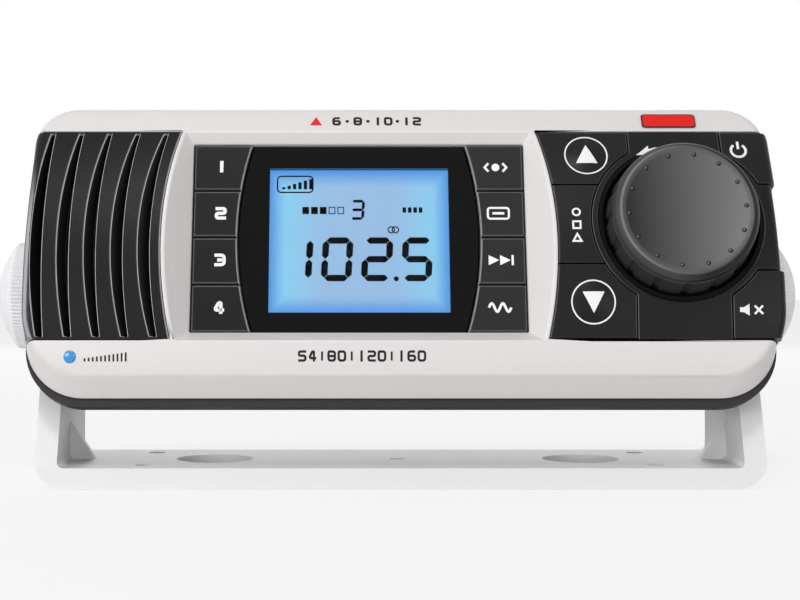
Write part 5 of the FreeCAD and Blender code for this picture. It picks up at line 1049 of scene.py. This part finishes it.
class STEREO_OT_inner_parts(bpy.types.Operator):
    """Finishes of what lies inside the head and on its back"""
    bl_idname = "stereo.inner_parts"
    bl_label = "Inner and rear parts"

    def execute(self, context):
        colours = context.scene.stereo_colours
        for material, *nodes in (
            # Moulded rubber seals: dull black.
            (moulded("moulded_seal_rubber", colours.rubber, 0.65, 0.4, 0.01, specular=0.3),
             "case_gasket", "speaker_gasket", "pivot_washers"),
            # Machine screws of stainless steel: bright, with fine turning marks.
            (metal("stainless_screw_steel", linear("#B4B6B9"), 0.28, 0.25, 0.002),
             "casing_screws", "speaker_screws", "board_screws", "heat_sink_screws", "encoder_shaft"),
            # Pressed steel basket under black powder coat: slight orange peel.
            (moulded("powder_coated_steel", linear("#1E1E20"), 0.4, 0.5, 0.02), "speaker_basket"),
            # Pressed paper pulp: fibrous and matt.
            (moulded("pressed_paper_pulp", linear("#232220"), 0.85, 0.3, 0.05, mottle=0.7, specular=0.2),
             "speaker_cone"),
            # Sintered ferrite: dark grey stone-like grain.
            (moulded("sintered_ferrite", linear("#3A3A3D"), 0.6, 0.3, 0.02, mottle=0.8), "speaker_magnet"),
            # Turned brass: warm, with fine rings.
            (metal("turned_brass", linear("#C9A25A"), 0.3, 0.25, 0.002), "pivot_inserts", "board_spacers"),
            # Cast acrylic light guide: milky where it scatters.
            (moulded("frosted_acrylic_guide", linear("#C9DCEB"), 0.4, 0.6, 0.004), "backlight_guide"),
            # Dark grey moulded carrier.
            (moulded("moulded_grey_abs", linear("#3B3B3D"), 0.5, 0.4, 0.01), "keypad_frame"),
            # Glass epoxy board under green solder mask: glossy, with the weave showing through.
            (moulded("solder_masked_board", linear("#1F5A33"), 0.3, 0.5, 0.008, mottle=0.8),
             "display_board", "control_board", "main_board"),
            # Switch bodies of black nylon.
            (moulded("black_nylon", linear("#202021"), 0.45, 0.3, 0.006), "tact_switches"),
            # Tinned steel screening cans: bright, slightly rippled.
            (metal("tinned_steel", linear("#C4C6C8"), 0.25, 1.2, 0.004),
             "tuner_module", "wireless_module", "encoder_body"),
            # Drawn aluminium cans of the capacitors.
            (metal("drawn_aluminium", linear("#C9CBCE"), 0.3, 0.4, 0.002, stretch=(1.0, 0.1, 1.0)),
             "capacitors"),
            # Moulded epoxy of the amplifier: flat black.
            (moulded("moulded_epoxy", linear("#1B1B1C"), 0.55, 0.25, 0.01), "amplifier_chip"),
            # Extruded aluminium, black anodised: die lines run up the fins.
            (metal("black_anodised_aluminium", linear("#3A3B3E"), 0.42, 0.35, 0.004,
                   stretch=(1.0, 1.0, 0.06)), "heat_sink"),
            # Nickel plated brass of the antenna socket.
            (metal("nickel_plated_brass", linear("#C2BFB6"), 0.2, 0.3, 0.0015), "antenna_socket"),
            # Glossy black polyamide of the other sockets.
            (moulded("glossy_black_polyamide", linear("#171718"), 0.28, 0.5, 0.003),
             "power_inlet", "aux_socket", "line_out_sockets"),
        ):
            for node in nodes:
                paint(node, material)
        return {"FINISHED"}


class STEREO_OT_studio(bpy.types.Operator):
    """Pale floor, white surroundings, soft lamps and the camera"""
    bl_idname = "stereo.studio"
    bl_label = "Studio"

    def execute(self, context):
        self.make_floor()
        self.make_world(context.scene)
        self.make_lamps(context.scene.stereo_sizes.key_light)
        self.make_camera(context.scene)
        context.scene.view_settings.view_transform = "Standard"
        return {"FINISHED"}

    def make_floor(self):
        """Pale sheet that the camera sees as near white, but for the object's shadow."""
        # Matt white paper: its fibres vary the tone a little.
        material, tree, place = new_material("matt_white_sheet")
        fibre = add_node(tree, "ShaderNodeTexNoise", {"Vector": place, "Scale": 1 / (2.5 * MILLIMETRE)})
        tone = add_node(tree, "ShaderNodeMapRange", {
            "Value": fibre.outputs["Fac"], "To Min": 0.86, "To Max": 0.9})
        sheet = add_node(tree, "ShaderNodeBsdfDiffuse", {"Color": tone.outputs["Result"]})
        glow = add_node(tree, "ShaderNodeEmission", {"Color": (1, 1, 1, 1), "Strength": 1.0})
        share = add_node(tree, "ShaderNodeMath", {0: self.seen(tree), 1: 0.8}, operation="MULTIPLY")
        finish_material(tree, add_node(tree, "ShaderNodeMixShader", {
            0: share.outputs[0], 1: sheet.outputs[0], 2: glow.outputs[0]}))
        half, level = 4.0, -0.2 * MILLIMETRE
        corners = [(-half, -half, level), (half, -half, level), (half, half, level), (-half, half, level)]
        mesh = bpy.data.meshes.new("studio_floor")
        mesh.from_pydata(corners, [], [(0, 1, 2, 3)])
        mesh.materials.append(material)
        floor = link_object("studio_floor", mesh)

    def seen(self, tree):
        """1 for rays from the camera, from a reflection and through glass, so that all see the white."""
        rays = add_node(tree, "ShaderNodeLightPath").outputs
        share = rays["Is Camera Ray"]
        for kind in ("Is Glossy Ray", "Is Transmission Ray"):
            share = add_node(tree, "ShaderNodeMath", {0: share, 1: rays[kind]},
                             operation="MAXIMUM").outputs[0]
        return share

    def make_world(self, scene):
        world = bpy.data.worlds.new("white_studio")
        world.use_nodes = True
        tree = world.node_tree
        tree.nodes.clear()
        strength = add_node(tree, "ShaderNodeMapRange", {"Value": self.seen(tree), "To Min": 0.3})
        sky = add_node(tree, "ShaderNodeBackground", {
            "Color": (1, 1, 1, 1), "Strength": strength.outputs["Result"]})
        add_node(tree, "ShaderNodeOutputWorld", {"Surface": sky.outputs[0]})
        scene.world = world

    def make_lamps(self, power):
        """Soft lamps: the key in front and above, one at the left, two low in front, which reach under the
        head, one overhead, and one low behind. Each has a place, a width, a height and a share of the key's
        power, and all aim at the middle of the head."""
        target = np.array([0.0, 0.0, 0.045])
        for name, place, wide, tall, share in (
                ("key_lamp", (-0.1, -0.77, 0.9), 0.22, 0.22, 1.0),
                ("left_lamp", (-1.0, -0.35, 0.35), 0.6, 0.6, 0.7),
                ("front_left_lamp", (-0.6, -0.95, 0.2), 0.6, 0.35, 1.35),
                ("front_right_lamp", (0.6, -0.95, 0.2), 0.6, 0.35, 0.65),
                ("top_lamp", (0.1, 0.05, 1.1), 0.9, 0.9, 0.05),
                ("back_lamp", (0.0, 0.8, 0.35), 1.0, 0.4, 0.7)):
            lamp = bpy.data.lights.new(name, "AREA")
            lamp.shape = "RECTANGLE"
            lamp.size, lamp.size_y, lamp.energy = wide, tall, power * share
            holder = link_object(name, lamp)
            holder.location = place
            holder.rotation_euler = Vector(target - np.array(place)).to_track_quat("-Z", "Y").to_euler()

    def make_camera(self, scene):
        """A level camera straight in front; its picture is shifted, not turned, onto the object."""
        lens = bpy.data.cameras.new("front_view")
        lens.sensor_width, lens.lens = 36.0, 74.25
        lens.shift_x, lens.shift_y = 0.0725, -0.0225
        lens.clip_start = 0.01
        camera = link_object("front_view", lens)
        camera.location = (-0.0139, -0.41115, 0.04898)
        camera.rotation_euler = (math.radians(90), 0, 0)
        scene.camera = camera


class STEREO_PT_panel(bpy.types.Panel):
    """The stereo's pieces, sizes and colours"""
    bl_idname = "STEREO_PT_panel"
    bl_label = "Marine stereo"
    bl_space_type = "VIEW_3D"
    bl_region_type = "UI"
    bl_category = "Stereo"

    def draw(self, context):
        column = self.layout.column()
        for operator in OPERATORS:
            column.operator(operator.bl_idname)
        for group in (context.scene.stereo_sizes, context.scene.stereo_colours):
            for name in group.__annotations__:
                column.prop(group, name)


OPERATORS = (STEREO_OT_white_mouldings, STEREO_OT_dark_mouldings, STEREO_OT_keys, STEREO_OT_display,
             STEREO_OT_volume_knob, STEREO_OT_clamp_knobs, STEREO_OT_face_marks, STEREO_OT_inner_parts,
             STEREO_OT_studio)
CLASSES = (StereoSizes, StereoColours, *OPERATORS, STEREO_PT_panel)


def register():
    for made in CLASSES:
        bpy.utils.register_class(made)
    bpy.types.Scene.stereo_sizes = PointerProperty(type=StereoSizes)
    bpy.types.Scene.stereo_colours = PointerProperty(type=StereoColours)


def unregister():
    del bpy.types.Scene.stereo_colours
    del bpy.types.Scene.stereo_sizes
    for made in reversed(CLASSES):
        bpy.utils.unregister_class(made)


def main():
    register()
    bpy.ops.stereo.white_mouldings()
    bpy.ops.stereo.dark_mouldings()
    bpy.ops.stereo.keys()
    bpy.ops.stereo.display()
    bpy.ops.stereo.volume_knob()
    bpy.ops.stereo.clamp_knobs()
    bpy.ops.stereo.face_marks()
    bpy.ops.stereo.inner_parts()
    bpy.ops.stereo.studio()
    bpy.context.view_layer.update()


if __name__ == "__main__":
    main()
